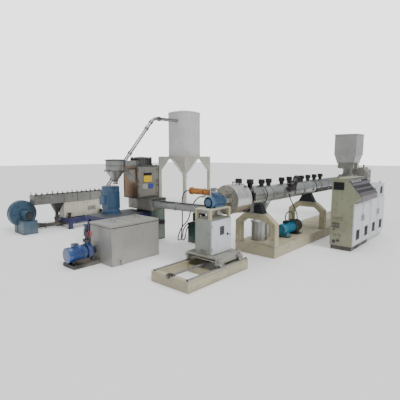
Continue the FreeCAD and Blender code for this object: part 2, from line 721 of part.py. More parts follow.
def trolley_screw():
    """Lead screw along the trolley, carried by the end channels."""
    return screw_bar(TROLLEY_X[0] - 25, TROLLEY_X[1] - TROLLEY_CHANNEL / 2)


def wheelset(x):
    """Axle with a wheel at each end."""
    pieces = [rod(AXLE_R, (x, -RAIL_Y, WHEEL_Z), (x, RAIL_Y, WHEEL_Z))]
    for side in (-1, 1):
        a = (x, side * RAIL_Y - WHEEL_WIDTH / 2, WHEEL_Z)
        b = (x, side * RAIL_Y + WHEEL_WIDTH / 2, WHEEL_Z)
        pieces.append(rod(WHEEL_R, a, b))
    return fuse(pieces)


def trolley_carriage():
    """Deck on two axle cheeks, with the lead screw's nut and the cabinet's corner gussets."""
    deck = box(CARRIAGE_X, (-DECK_HALF, DECK_HALF), (DECK_TOP - CARRIAGE_PLATE, DECK_TOP))
    pieces = [deck]
    for side in (-1, 1):
        y = sorted((side * (DECK_HALF - CARRIAGE_PLATE), side * DECK_HALF))
        pieces.append(box(CARRIAGE_X, y, (WHEEL_Z - 32, DECK_TOP - CARRIAGE_PLATE)))
    mid = (CARRIAGE_X[0] + CARRIAGE_X[1]) / 2
    nut = box((mid - 45, mid + 45), (-45, 45), (SCREW_Z - 10, DECK_TOP - CARRIAGE_PLATE))
    pieces.append(nut)
    half = CABINET_WIDTH / 2
    for x in (CABINET_X[0] + 30, CABINET_X[1] - 42):
        corners = [(x, half, DECK_TOP), (x, half + GUSSET, DECK_TOP), (x, half, DECK_TOP + GUSSET)]
        pieces.append(prism(corners, (12, 0, 0)))
    carriage = fuse(pieces)
    for x in WHEEL_X:
        carriage = carriage.cut(rod(AXLE_R + AXLE_FIT, (x, -RAIL_Y, WHEEL_Z), (x, RAIL_Y, WHEEL_Z)))
    return carriage.cut(rod(SCREW_R + 1.0, (mid - 60, 0, SCREW_Z), (mid + 60, 0, SCREW_Z)))


def trolley_cabinet():
    """Cabinet of the cutter's switchgear."""
    half = CABINET_WIDTH / 2
    front = -half + DOOR_THICK + DOOR_GAP
    return box(CABINET_X, (front, half), (DECK_TOP, CABINET_TOP))


def trolley_door():
    """Door on the near side of the trolley's cabinet."""
    half = CABINET_WIDTH / 2
    x = (CABINET_X[0] + 8, CABINET_X[1] - 8)
    return box(x, (-half, -half + DOOR_THICK), (DECK_TOP + 12, CABINET_TOP - 12))


def trolley_stand():
    """Angle-iron stand on the cabinet, with the motor's plate on top."""
    half = CABINET_WIDTH / 2
    front = -half + DOOR_THICK + DOOR_GAP
    pieces = []
    for x in (CABINET_X[0], CABINET_X[1] - STAND_ANGLE):
        for y in (front, half - STAND_ANGLE):
            post = box((x, x + STAND_ANGLE), (y, y + STAND_ANGLE), (CABINET_TOP, STAND_TOP - 10))
            pieces.append(post)
    plate = box(CABINET_X, (front, half), (STAND_TOP - 10, STAND_TOP))
    return fuse(pieces + [plate])


DRUM_FRONT_X = DRUM_BACK_X - DRUM_LENGTH
MOTOR_BACK_X = DRUM_FRONT_X - LANTERN_LENGTH
SPOUT_X = (TROUGH_X - 62.0, TROUGH_X + 62.0)
SPOUT_Y = 262.0


def pelletizer_drum():
    """Cutter chamber: drum open towards the die, with its spout over the trough."""
    axis = lambda x: (x, 0, CUTTER_Z)
    shell = rod(DRUM_R, axis(DRUM_FRONT_X), axis(DRUM_BACK_X))
    rim = rod(DRUM_R + DRUM_RIM, axis(DRUM_BACK_X - 12), axis(DRUM_BACK_X))
    spout_z = (TROUGH_RIM_Z + RUN_GAP + 4, TROUGH_RIM_Z + 130)
    spout = box(SPOUT_X, (100, SPOUT_Y), spout_z)
    hollow = rod(DRUM_R - DRUM_WALL, axis(DRUM_FRONT_X + DRUM_WALL), axis(DRUM_BACK_X + 1))
    passage = box((SPOUT_X[0] + SHEET, SPOUT_X[1] - SHEET), (90, SPOUT_Y - SHEET),
                  (spout_z[0] - 1, spout_z[1] - SHEET))
    return fuse([shell, rim, spout, drum_lantern()]).cut(hollow).cut(passage)


def cutter_motor():
    """Cutter motor, its flange and its shaft lantern to the drum's front."""
    axis = lambda x: (x, 0, CUTTER_Z)
    body = rod(CUTTER_MOTOR_R, axis(MOTOR_BACK_X - CUTTER_MOTOR_LENGTH), axis(MOTOR_BACK_X))
    foot = box((MOTOR_BACK_X - 270, MOTOR_BACK_X - 60), (-80, 80), (STAND_TOP, CUTTER_Z - 50))
    return fuse([body, foot])


def drum_lantern():
    """Open lantern between the cutter motor and the drum."""
    axis = lambda x: (x, 0, CUTTER_Z)
    pieces = [
        rod(CUTTER_MOTOR_R, axis(MOTOR_BACK_X), axis(MOTOR_BACK_X + 14)),
        rod(120, axis(DRUM_FRONT_X - 14), axis(DRUM_FRONT_X)),
        rod(20, axis(MOTOR_BACK_X), axis(DRUM_FRONT_X)),
    ]
    for side in (-1, 1):
        y = sorted((side * 62, side * 78))
        pieces.append(box((MOTOR_BACK_X, DRUM_FRONT_X), y, (CUTTER_Z - 35, CUTTER_Z + 35)))
    return fuse(pieces)


# ---- trough, tank and pump -------------------------------------------------------------------
def trough_section(inset, lift, top, end_y):
    """Sloping bar of the trough's section, drawn in by a wall and raised by a floor."""
    floor = TROUGH_RIM_Z - TROUGH_DEPTH + lift
    rim = TROUGH_RIM_Z + top
    x = TROUGH_X - TROUGH_WIDTH / 2 + inset
    start_y = TROUGH_START_Y + inset
    side = [
        (x, start_y, floor), (x, end_y, floor - TROUGH_FALL),
        (x, end_y, rim - TROUGH_FALL), (x, start_y, rim),
    ]
    return prism(side, (TROUGH_WIDTH - 2 * inset, 0, 0))


def discharge_trough():
    """Open channel that carries water and pellets to the dewatering unit, on one post."""
    outer = trough_section(0, 0, 0, INLET_BOX_Y)
    inner = trough_section(SHEET, SHEET, 20, INLET_BOX_Y + 1)
    half = TROUGH_POST / 2
    post_x = (TROUGH_X - half, TROUGH_X + half)
    post_y = (TROUGH_POST_Y - half, TROUGH_POST_Y + half)
    post = box(post_x, post_y, (0, TROUGH_RIM_Z - TROUGH_DEPTH - 2))
    return outer.fuse(post).cut(inner)


def water_tank():
    """Open-topped stainless tank."""
    outer = box(TANK_X, TANK_Y, (0, TANK_HEIGHT))
    inner = box((TANK_X[0] + SHEET, TANK_X[1] - SHEET), (TANK_Y[0] + SHEET, TANK_Y[1] - SHEET),
                (SHEET, TANK_HEIGHT + 1))
    return fuse([outer.cut(inner), tank_pipe()])


def tank_lid():
    """Flat lid that rests on the tank's rim."""
    x = (TANK_X[0] - 8, TANK_X[1] + 8)
    y = (TANK_Y[0] - 8, TANK_Y[1] + 8)
    return box(x, y, (TANK_HEIGHT, TANK_HEIGHT + 8))


def tank_pipe():
    """Return elbow on the tank's end."""
    z = TANK_HEIGHT - 80
    y = TANK_Y[0] + 62
    run = rod(42, (TANK_X[1], y, z), (TANK_X[1] + 130, y, z))
    drop = rod(42, (TANK_X[1] + 130, y - 60, z), (TANK_X[1] + 130, y + 100, z))
    return fuse([run, drop])


PUMP_X0 = TANK_X[0] - SKID_LENGTH - 30.0
VOLUTE_X = (PUMP_X0 + 330.0, PUMP_X0 + 410.0)
PUMP_OUTLET_X = sum(VOLUTE_X) / 2


def pump_axis(x):
    """Point on the pump's shaft line."""
    return (x, PUMP_Y, PUMP_AXIS_Z)


def pump_casing():
    """Motor, neck and volute of the pump on one axis, with the suction pipe to the tank."""
    motor_end = PUMP_X0 + 300
    return fuse([
        rod(PUMP_MOTOR_R, pump_axis(PUMP_X0), pump_axis(motor_end)),
        rod(PUMP_MOTOR_R - 25, pump_axis(motor_end), pump_axis(VOLUTE_X[0])),
        rod(PUMP_MOTOR_R + 14, pump_axis(VOLUTE_X[0]), pump_axis(VOLUTE_X[1])),
        rod(SUCTION_R, pump_axis(VOLUTE_X[1]), pump_axis(TANK_X[0])),
    ])


def pump_skid():
    """Base plate and rails of the water pump."""
    x = (TANK_X[0] - SKID_LENGTH, TANK_X[0])
    plate_z = (0, SKID_PLATE)
    rail_z = (SKID_PLATE, PUMP_AXIS_Z - PUMP_MOTOR_R + 35)
    pieces = [box(x, (PUMP_Y - SKID_HALF, PUMP_Y + SKID_HALF), plate_z)]
    for offset in (-80, 80):
        y = (PUMP_Y + offset - 20, PUMP_Y + offset + 20)
        pieces.append(box((x[0] + 40, x[1] - 150), y, rail_z))
    return fuse(pieces).cut(pump_casing())


def pump_rise(radius, low, high):
    """Piece of the pump's upright delivery line between two heights above the shaft."""
    start = (PUMP_OUTLET_X, PUMP_Y, PUMP_AXIS_Z + low)
    end = (PUMP_OUTLET_X, PUMP_Y, PUMP_AXIS_Z + high)
    return rod(radius, start, end)


def water_pump():
    """Close-coupled water pump with its delivery pipe, flange pair and valve body."""
    return fuse([
        pump_casing(),
        pump_rise(DELIVERY_R + 6, 0, 190),
        pump_rise(DELIVERY_FLANGE_R, 172, 206),
        pump_rise(DELIVERY_R, 190, 450),
        pump_rise(DELIVERY_R + 16, 280, 340),
    ])


# ---- dewatering unit -------------------------------------------------------------------------
def dewatering_platform():
    """Platform plate with its channel edge, on legs."""
    pieces = [box(PLATFORM_X, PLATFORM_Y, (PLATFORM_Z - PLATFORM_RIM, PLATFORM_Z))]
    for x in (PLATFORM_X[0] + 10, PLATFORM_X[1] - 60):
        for y in (PLATFORM_Y[0] + 10, PLATFORM_Y[1] - 60):
            pieces.append(box((x, x + 50), (y, y + 50), (0, PLATFORM_Z - PLATFORM_RIM)))
    return fuse(pieces)


def platform_panels():
    """Pump and gear box under the platform, behind panels."""
    x = (PLATFORM_X[0] + 90, PLATFORM_X[1] - 90)
    return box(x, (PLATFORM_Y[0] + 80, PLATFORM_Y[1] - 80), (0, PLATFORM_Z - PLATFORM_RIM))


def dewatering_base():
    """Panelled boxes under the platform and under the centrifuge."""
    return group([platform_panels(), box(PANEL_BOX_X, HOUSING_Y, (0, PANEL_BOX_Z))])


def inlet_box():
    """Box that takes the trough's flow into the centrifuge."""
    foot = box(INLET_BOX_X, (INLET_BOX_Y, HOUSING_Y[1]), INLET_BOX_Z)
    half = TROUGH_WIDTH / 2 - SHEET
    rim_z = TROUGH_RIM_Z - TROUGH_FALL
    slot_y = (INLET_BOX_Y - 1, INLET_BOX_Y + 120)
    slot_z = (rim_z - TROUGH_DEPTH + SHEET, rim_z)
    return foot.cut(box((TROUGH_X - half, TROUGH_X + half), slot_y, slot_z))


ROTOR_X = (HOUSING_X[0] + HOUSING_X[1]) / 2
ROTOR_Y = (HOUSING_Y[0] + HOUSING_Y[1]) / 2


def dewatering_housing():
    """Centrifuge housing with its round rotor cap."""
    case = box(HOUSING_X, HOUSING_Y, HOUSING_Z)
    top = HOUSING_Z[1]
    cap = rod(ROTOR_CAP_R, (ROTOR_X, ROTOR_Y, top), (ROTOR_X, ROTOR_Y, top + ROTOR_CAP_H))
    return fuse([case, cap, inlet_box(), pellet_hood()])


def upright_motor():
    """Vertical flange motor on the platform."""
    x, y = UPRIGHT_MOTOR
    pieces = [
        rod(UPRIGHT_MOTOR_R + 35, (x, y, PLATFORM_Z), (x, y, PLATFORM_Z + 30)),
        rod(UPRIGHT_MOTOR_R, (x, y, PLATFORM_Z + 30), (x, y, PLATFORM_Z + UPRIGHT_MOTOR_H)),
    ]
    return fuse(pieces)


def cyclone_bowl():
    """Air separator bowl with its cone and stub, and its duct to the rotor cap."""
    low_z = BOWL_TOP_Z - BOWL_DEPTH
    tip_z = low_z - 190
    duct_y = (BOWL_Y - 60, BOWL_Y + 60)
    duct = box((BOWL_X, ROTOR_X), duct_y, (HOUSING_Z[1], BOWL_TOP_Z - 15))
    cap = rod(ROTOR_CAP_R, (ROTOR_X, ROTOR_Y, HOUSING_Z[1]), (ROTOR_X, ROTOR_Y, BOWL_TOP_Z))
    pieces = [
        rod(BOWL_R, (BOWL_X, BOWL_Y, low_z), (BOWL_X, BOWL_Y, BOWL_TOP_Z)),
        cone(42, BOWL_R, (BOWL_X, BOWL_Y, tip_z), (BOWL_X, BOWL_Y, low_z)),
        rod(42, (BOWL_X, BOWL_Y, tip_z - 60), (BOWL_X, BOWL_Y, tip_z)),
        duct,
    ]
    return fuse(pieces).cut(cap)


def pellet_hood():
    """Sloping pellet outlet hood on the housing's end."""
    y = (HOUSING_Y[0] + 40, HOUSING_Y[0] + 230)
    corners = [
        (HOUSING_X[0], y[0], HOUSING_Z[1] - 60), (HOUSING_X[0] - 190, y[0], HOUSING_Z[1] - 60),
        (HOUSING_X[0], y[0], HOUSING_Z[1] - 330),
    ]
    return prism(corners, (0, y[1] - y[0], 0))


# ---- vibrating screen ------------------------------------------------------------------------
def screen_tray():
    """Vibrating screen's stainless tray."""
    outer = box(TRAY_X, TRAY_Y, TRAY_Z)
    skin = SHEET
    inner = box((TRAY_X[0] + skin, TRAY_X[1] - skin), (TRAY_Y[0] + skin, TRAY_Y[1] - skin),
                (TRAY_Z[0] + skin, TRAY_Z[1] + 1))
    return outer.cut(inner)


def screen_box():
    """Vibrator casing that carries the tray."""
    return box(SCREEN_BOX_X, (TRAY_Y[0] + 10, TRAY_Y[1] - 10), SCREEN_BOX_Z)


def screen_stand():
    """Stand of two long beams on four legs, with two cross beams over the air line."""
    pieces = []
    x = (SCREEN_BOX_X[0], SCREEN_BOX_X[1] + 20)
    ends = (x[0], x[1] - STAND_BEAM)
    for y in (STAND_Y[0], STAND_Y[1] - STAND_BEAM):
        beam_y = (y, y + STAND_BEAM)
        pieces.append(box(x, beam_y, STAND_BEAM_Z))
        for leg in ends:
            pieces.append(box((leg, leg + STAND_BEAM), beam_y, (0, STAND_BEAM_Z[0])))
    for cross in ends:
        pieces.append(box((cross, cross + STAND_BEAM), STAND_Y, STAND_BEAM_Z))
    return fuse(pieces)


def feed_funnel():
    """Funnel under the tray with its slanting pipe into the air line."""
    neck = FUNNEL_NECK_R
    tray_y = (TRAY_Y[0] + TRAY_Y[1]) / 2
    half = FUNNEL_W / 2
    neck_z = TRAY_Z[0] - 230
    hood = frustum((neck, neck), neck_z, (half, half - 15), TRAY_Z[0], (FUNNEL_X, tray_y))
    drop = rod(neck, (FUNNEL_X, tray_y, neck_z + 25), (FUNNEL_FOOT_X, AIR_Y, AIR_Z))
    line = rod(AIR_R, (FUNNEL_X - 300, AIR_Y, AIR_Z), (FUNNEL_X + 300, AIR_Y, AIR_Z))
    below = box((FUNNEL_X - 400, FUNNEL_X + 400), (AIR_Y - 300, AIR_Y + 300), (AIR_Z - 300, AIR_Z))
    return fuse([hood, drop]).cut(line).cut(below)


# ---- blower and air line ---------------------------------------------------------------------
BLOWER_Y = (AIR_Y - BLOWER_WIDTH / 2, AIR_Y + BLOWER_WIDTH / 2)
OUTLET_H = 150.0


def blower():
    """Fan casing with its outlet towards the air line, on its bearing pedestal."""
    low_z = BLOWER_Z - BLOWER_R
    front_y = BLOWER_Y[0] - PEDESTAL_DEPTH
    pedestal_y = (front_y, BLOWER_Y[0])
    return fuse([
        rod(BLOWER_R, (BLOWER_X, BLOWER_Y[0], BLOWER_Z), (BLOWER_X, BLOWER_Y[1], BLOWER_Z)),
        box((BLOWER_X, BLOWER_X + BLOWER_R + 20), BLOWER_Y, (AIR_Z - AIR_R, AIR_Z - AIR_R + OUTLET_H)),
        box((BLOWER_X - 160, BLOWER_X), BLOWER_Y, (0, low_z + 60)),
        box((BLOWER_X - 150, BLOWER_X + 160), pedestal_y, (0, PEDESTAL_TOP)),
        box((BLOWER_X - 70, BLOWER_X + 70), (front_y + 60, BLOWER_Y[0]), (PEDESTAL_TOP, BLOWER_Z)),
        rod(85, (BLOWER_X, front_y + 30, BLOWER_Z), (BLOWER_X, BLOWER_Y[0], BLOWER_Z)),
    ])


def round_wire(radius, x, z):
    """Circle across the air line at one station."""
    return Part.Wire(Part.makeCircle(radius, Vector(x, AIR_Y, z), Vector(1, 0, 0)))


def blower_pipe():
    """Air pipe along the floor from the fan past the funnel to the foot of the riser."""
    start_x = BLOWER_X + BLOWER_R + 20
    taper_x = start_x + 220
    wide_r = OUTLET_H / 2 - 5
    taper = Part.makeLoft([round_wire(wide_r, start_x, AIR_Z - AIR_R + OUTLET_H / 2),
                           round_wire(AIR_R, taper_x, AIR_Z)], True, True)
    run = rod(AIR_R, (taper_x, AIR_Y, AIR_Z), (RISER_START_X, AIR_Y, AIR_Z))
    return fuse([taper, run])


def riser_pipe():
    """Conveying pipe that climbs to the silo."""
    rise = math.radians(RISER_DEG)
    climb = RISER_TOP_Z - AIR_Z
    bend = 300.0
    low = Vector(RISER_START_X + bend * math.tan(rise / 2), AIR_Y, AIR_Z)
    top = low + Vector(climb / math.tan(rise), 0, climb)
    wall = math.sqrt(SILO_R ** 2 - (SILO_CENTRE[1] - AIR_Y) ** 2)
    end = Vector(SILO_CENTRE[0] - wall + 20, AIR_Y, RISER_TOP_Z)
    tangent = bend * math.tan(rise / 2)
    along = (top - low).normalize()
    points = [Vector(RISER_START_X, AIR_Y, AIR_Z), low + along * tangent, top - along * tangent,
              top + Vector(tangent, 0, 0), end]
    first_mid = bend_middle(low, Vector(1, 0, 0), along, bend, rise)
    last_mid = bend_middle(top, along, Vector(1, 0, 0), bend, rise)
    edges = [
        Part.Arc(points[0], first_mid, points[1]).toShape(),
        Part.LineSegment(points[1], points[2]).toShape(),
        Part.Arc(points[2], last_mid, points[3]).toShape(),
        Part.LineSegment(points[3], points[4]).toShape(),
    ]
    path = Part.Wire(edges)
    profile = Part.Wire(Part.makeCircle(RISER_R, points[0], Vector(1, 0, 0)))
    pipe = path.makePipeShell([profile], True, False)
    silo = rod(SILO_R, (*SILO_CENTRE, SILO_Z[0]), (*SILO_CENTRE, SILO_Z[1]))
    return pipe.cut(silo)


def bend_middle(corner, into, out, radius, turn):
    """Middle point of an arc that rounds a corner."""
    inward = (out - into).normalize()
    return corner + inward * (radius / math.cos(turn / 2) - radius)


# ---- silo ------------------------------------------------------------------------------------
def silo_solid(outlet_r, barrel_r, top_z):
    """Silo's round body, cone and outlet spigot as one solid."""
    x, y = SILO_CENTRE
    cone_z = SILO_CONE_Z + SILO_SPIGOT
    return fuse([
        rod(outlet_r, (x, y, SILO_CONE_Z), (x, y, cone_z)),
        cone(outlet_r, barrel_r, (x, y, cone_z), (x, y, SILO_Z[0])),
        rod(barrel_r, (x, y, SILO_Z[0]), (x, y, top_z)),
    ])


def silo_shell():
    """Round silo body, its cone and its open outlet, as one welded shell."""
    inside = silo_solid(SILO_OUTLET_R - SILO_WALL, SILO_R - SILO_WALL, SILO_Z[1])
    return silo_solid(SILO_OUTLET_R, SILO_R, SILO_Z[1]).cut(inside)


def silo_lid():
    """Shallow roof with its inspection cover."""
    x, y = SILO_CENTRE
    roof = cone(SILO_R + 8, SILO_R - 120, (x, y, SILO_Z[1]), (x, y, SILO_Z[1] + 40))
    hatch = rod(220, (x, y, SILO_Z[1] + 40), (x, y, SILO_Z[1] + 75))
    return fuse([roof, hatch])


HALF_FRAME = SILO_FRAME / 2


def silo_leg(sx, sy):
    """Square leg at one corner, with a triangular plate along each side of the frame."""
    corner_x = SILO_CENTRE[0] + sx * HALF_FRAME
    corner_y = SILO_CENTRE[1] + sy * HALF_FRAME
    top = SILO_Z[0] - SILO_RING_H
    x = sorted((corner_x, corner_x - sx * SILO_LEG))
    y = sorted((corner_y, corner_y - sy * SILO_LEG))
    inner_x = corner_x - sx * SILO_LEG
    inner_y = corner_y - sy * SILO_LEG
    along_x = [(inner_x, corner_y, top), (inner_x - sx * SILO_GUSSET, corner_y, top),
               (inner_x, corner_y, top - SILO_GUSSET)]
    along_y = [(corner_x, inner_y, top), (corner_x, inner_y - sy * SILO_GUSSET, top),
               (corner_x, inner_y, top - SILO_GUSSET)]
    plate_x = prism(along_x, (0, -sy * SILO_PLATE, 0))
    plate_y = prism(along_y, (-sx * SILO_PLATE, 0, 0))
    return fuse([box(x, y, (0, top)), plate_x, plate_y])


def silo_legs():
    """Four legs with their corner plates."""
    return group([silo_leg(sx, sy) for sx in (-1, 1) for sy in (-1, 1)])


def silo_ring():
    """Square ring frame on the legs that the silo's body stands on."""
    x0, y0 = SILO_CENTRE
    z = (SILO_Z[0] - SILO_RING_H, SILO_Z[0])
    outer = box((x0 - HALF_FRAME, x0 + HALF_FRAME), (y0 - HALF_FRAME, y0 + HALF_FRAME), z)
    cone_hole = cone(SILO_OUTLET_R, SILO_R, (x0, y0, SILO_CONE_Z), (x0, y0, SILO_Z[0]))
    return outer.cut(cone_hole)


# ---- hoses -----------------------------------------------------------------------------------
PRESSURE_HOSE = (
    PRESSURE_START, (CHANGER_MID_X, 1345, RAM_Z), (-412, 1432, 1066), (-412, 1480, 975), (-411, 1490, 860),
    (-413, 1484, 730), (-410, 1487, 590), (-413, 1481, 465), (-410, 1494, 350), (-412, 1508, 250),
    (-411, 1514, 182), (-404, 1523, 122), (-376, 1531, 80), (-329, 1541, 65), (-282, 1551, 80),
    (-253, 1556, 120), (-247, 1551, 190), (-254, 1520, 275), (-257, 1460, 365), (-236, 1408, 422),
    (-176, PRESSURE_PORT_Y, UNIT_PORT_Z), (VALVES_X[0] - FITTING_LENGTH, PRESSURE_PORT_Y, UNIT_PORT_Z),
)
RETURN_HOSE = (
    RETURN_START, (CHANGER_MID_X, 990, RAM_PORT_Z), (-411, 1065, 984), (-413, 1135, 922), (-411, 1200, 838),
    (-413, 1250, 740), (-418, 1276, 632), (-430, 1303, 532), (-445, 1362, 458), (-455, 1428, 400),
    (-459, 1492, 306), (-456, 1545, 205), (-450, 1578, 125), (-424, 1594, 82), (-378, 1606, 62),
    (-330, 1612, 72), (-290, 1615, 106), (-270, 1612, 166), (-280, 1594, 242), (-290, 1550, 312),
    (-286, 1500, 375), (-245, 1460, 420), (-185, RETURN_PORT_Y, UNIT_PORT_Z),
    (VALVES_X[0] - FITTING_LENGTH, RETURN_PORT_Y, UNIT_PORT_Z),
)
VACUUM_HOSE = (
    tuple(VENT_STUB), (VENT_STUB.x, VENT_STUB.y, 1035), (885, -195, 965), (945, -198, 890), (1030, -200, 805),
    (1110, -202, 718), (1175, -203, 628), (1207, -204, 545), (1198, -205, 478), (1140, -204, 445),
    (1072, -200, 458), (1042, -192, 518), (1056, -185, 590), (1030, -178, 655), (960, -171, 690),
    (875, -164, 690), (808, -157, 645), (798, -148, 572), (850, -136, 516), (930, -120, 490),
    (1015, VACUUM_Y, VACUUM_PORT_Z), (VACUUM_PORT_X - VACUUM_PORT_REACH, VACUUM_Y, VACUUM_PORT_Z),
)

NODES = {
    "extruder_base": extruder_base(),
    "portals": portals(),
    "barrel_saddles": barrel_saddles(),
    "barrel": barrel(),
    "barrel_covers": barrel_covers(),
    "heater_terminal_boxes": heater_terminal_boxes(),
    "vent_port": vent_port(),
    "vacuum_pump": vacuum_pump(),
    "separator_tanks": separator_tanks(),
    "screen_changer": screen_changer(),
    "changer_cylinder": changer_cylinder(),
    "changer_bracket": changer_bracket(),
    "hydraulic_unit": hydraulic_unit(),
    "feed_throat": feed_throat(),
    "hopper": hopper(),
    "gearbox": gearbox(),
    "gearbox_stand": gearbox_stand(),
    "main_motor": main_motor(),
    "belt_guard": belt_guard(),
    "control_cabinets": control_cabinets(),
    "console_door_left": cabinet_door(CONSOLE_X, 0),
    "console_door_right": cabinet_door(CONSOLE_X, 1),
    "rear_door_left": cabinet_door(REAR_CABINET_X, 0),
    "rear_door_right": cabinet_door(REAR_CABINET_X, 1),
    "trolley_side_rails": trolley_side_rails(),
    "trolley_cross_channels": trolley_cross_channels(),
    "trolley_screw": trolley_screw(),
    "front_wheelset": wheelset(WHEEL_X[0]),
    "rear_wheelset": wheelset(WHEEL_X[1]),
    "trolley_carriage": trolley_carriage(),
    "trolley_cabinet": trolley_cabinet(),
    "trolley_door": trolley_door(),
    "trolley_stand": trolley_stand(),
    "pelletizer_drum": pelletizer_drum(),
    "cutter_motor": cutter_motor(),
    "discharge_trough": discharge_trough(),
    "water_tank": water_tank(),
    "tank_lid": tank_lid(),
    "pump_skid": pump_skid(),
    "water_pump": water_pump(),
    "dewatering_platform": dewatering_platform(),
    "dewatering_base": dewatering_base(),
    "dewatering_housing": dewatering_housing(),
    "upright_motor": upright_motor(),
    "cyclone_bowl": cyclone_bowl(),
    "screen_tray": screen_tray(),
    "screen_box": screen_box(),
    "screen_stand": screen_stand(),
    "feed_funnel": feed_funnel(),
    "blower": blower(),
    "blower_pipe": blower_pipe(),
    "riser_pipe": riser_pipe(),
    "silo_shell": silo_shell(),
    "silo_lid": silo_lid(),
    "silo_legs": silo_legs(),
    "silo_ring": silo_ring(),
    "pressure_hose": hose(PRESSURE_HOSE, HOSE_R, "pressure_hose"),
    "return_hose": hose(RETURN_HOSE, HOSE_R, "return_hose"),
    "vacuum_hose": hose(VACUUM_HOSE, VACUUM_HOSE_R, "vacuum_hose"),
}

os.makedirs("parts", exist_ok=True)
for node, shape in NODES.items():
    save(node, shape)
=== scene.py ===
"""Looks of the plastic extruder pelletising line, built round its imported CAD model.

Lengths in the helpers are millimetres in the model's own frame: +X along the barrel from the die
to the drive, +Z up, origin on the floor under the barrel axis at the front portal.
"""
import math

import bmesh
import bpy
from mathutils import Matrix, Vector


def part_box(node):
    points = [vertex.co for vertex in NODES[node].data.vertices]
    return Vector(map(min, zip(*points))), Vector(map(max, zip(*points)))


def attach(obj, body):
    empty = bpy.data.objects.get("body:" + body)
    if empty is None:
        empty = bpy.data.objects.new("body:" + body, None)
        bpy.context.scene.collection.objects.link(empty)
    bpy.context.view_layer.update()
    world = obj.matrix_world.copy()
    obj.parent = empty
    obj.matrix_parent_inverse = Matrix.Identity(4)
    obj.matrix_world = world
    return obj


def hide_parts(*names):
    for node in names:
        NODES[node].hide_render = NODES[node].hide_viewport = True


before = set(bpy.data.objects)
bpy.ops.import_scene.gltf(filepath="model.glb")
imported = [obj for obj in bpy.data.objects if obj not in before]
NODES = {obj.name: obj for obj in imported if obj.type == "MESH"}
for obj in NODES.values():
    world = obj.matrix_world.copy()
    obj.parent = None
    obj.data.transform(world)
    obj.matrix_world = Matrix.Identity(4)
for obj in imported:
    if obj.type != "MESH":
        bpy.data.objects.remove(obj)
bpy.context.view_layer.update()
MM = 0.001
X, Y, Z = Vector((1, 0, 0)), Vector((0, 1, 0)), Vector((0, 0, 1))


def extent(node):
    """Low and high corner of a CAD node in millimetres."""
    low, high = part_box(node)
    return Vector(low) / MM, Vector(high) / MM


# ---- materials -------------------------------------------------------------------------------
def colour(red, green, blue):
    """Linear colour from 0-255 screen values."""
    linear = [((v / 255 + 0.055) / 1.055) ** 2.4 if v > 10 else v / 3294.6 for v in (red, green, blue)]
    return (*linear, 1.0)


GRIME = colour(58, 52, 44)
DUST = colour(168, 160, 146)


class Shade:
    """Node tree of one material, laid out in object space, in metres."""

    def __init__(self, name):
        self.material = bpy.data.materials.new(name)
        self.material.use_nodes = True
        self.tree = self.material.node_tree
        self.tree.nodes.clear()
        self.shader = self.new("BsdfPrincipled")
        self.tree.links.new(self.shader.outputs[0], self.new("OutputMaterial").inputs[0])
        self.place = self.new("TexCoord").outputs["Object"]
        split = self.new("SeparateXYZ")
        self.tree.links.new(self.place, split.inputs[0])
        self.axis = dict(zip("xyz", split.outputs))

    def new(self, kind):
        return self.tree.nodes.new("ShaderNode" + kind)

    def feed(self, socket, value):
        if isinstance(value, bpy.types.NodeSocket):
            self.tree.links.new(value, socket)
        else:
            socket.default_value = value

    def math(self, kind, first, second):
        node = self.new("Math")
        node.operation = kind
        self.feed(node.inputs[0], first)
        self.feed(node.inputs[1], second)
        return node.outputs[0]

    def noise(self, scale, detail=4.0, stretch=(1, 1, 1)):
        mapping = self.new("Mapping")
        mapping.inputs["Scale"].default_value = stretch
        self.feed(mapping.inputs[0], self.place)
        texture = self.new("TexNoise")
        self.feed(texture.inputs["Vector"], mapping.outputs[0])
        texture.inputs["Scale"].default_value = scale
        texture.inputs["Detail"].default_value = detail
        return texture.outputs[0]

    def span(self, value, low, high, out_low=0.0, out_high=1.0):
        node = self.new("MapRange")
        for index, number in enumerate((value, low, high, out_low, out_high)):
            self.feed(node.inputs[index], number)
        return node.outputs[0]

    def mix(self, factor, first, second, kind="MIX"):
        node = self.new("Mix")
        node.data_type = "RGBA"
        node.blend_type = kind
        self.feed(node.inputs[0], factor)
        self.feed(node.inputs[6], first)
        self.feed(node.inputs[7], second)
        return node.outputs[2]

    def lerp(self, factor, first, second):
        node = self.new("Mix")
        self.feed(node.inputs[0], factor)
        self.feed(node.inputs[2], first)
        self.feed(node.inputs[3], second)
        return node.outputs[0]

    def inside(self, limits):
        """1 inside a box given as {axis: (low, high)} in metres, 0 outside."""
        mask = None
        for axis, (low, high) in limits.items():
            above = self.math("GREATER_THAN", self.axis[axis], low)
            both = self.math("MULTIPLY", above, self.math("LESS_THAN", self.axis[axis], high))
            mask = both if mask is None else self.math("MULTIPLY", mask, both)
        return mask


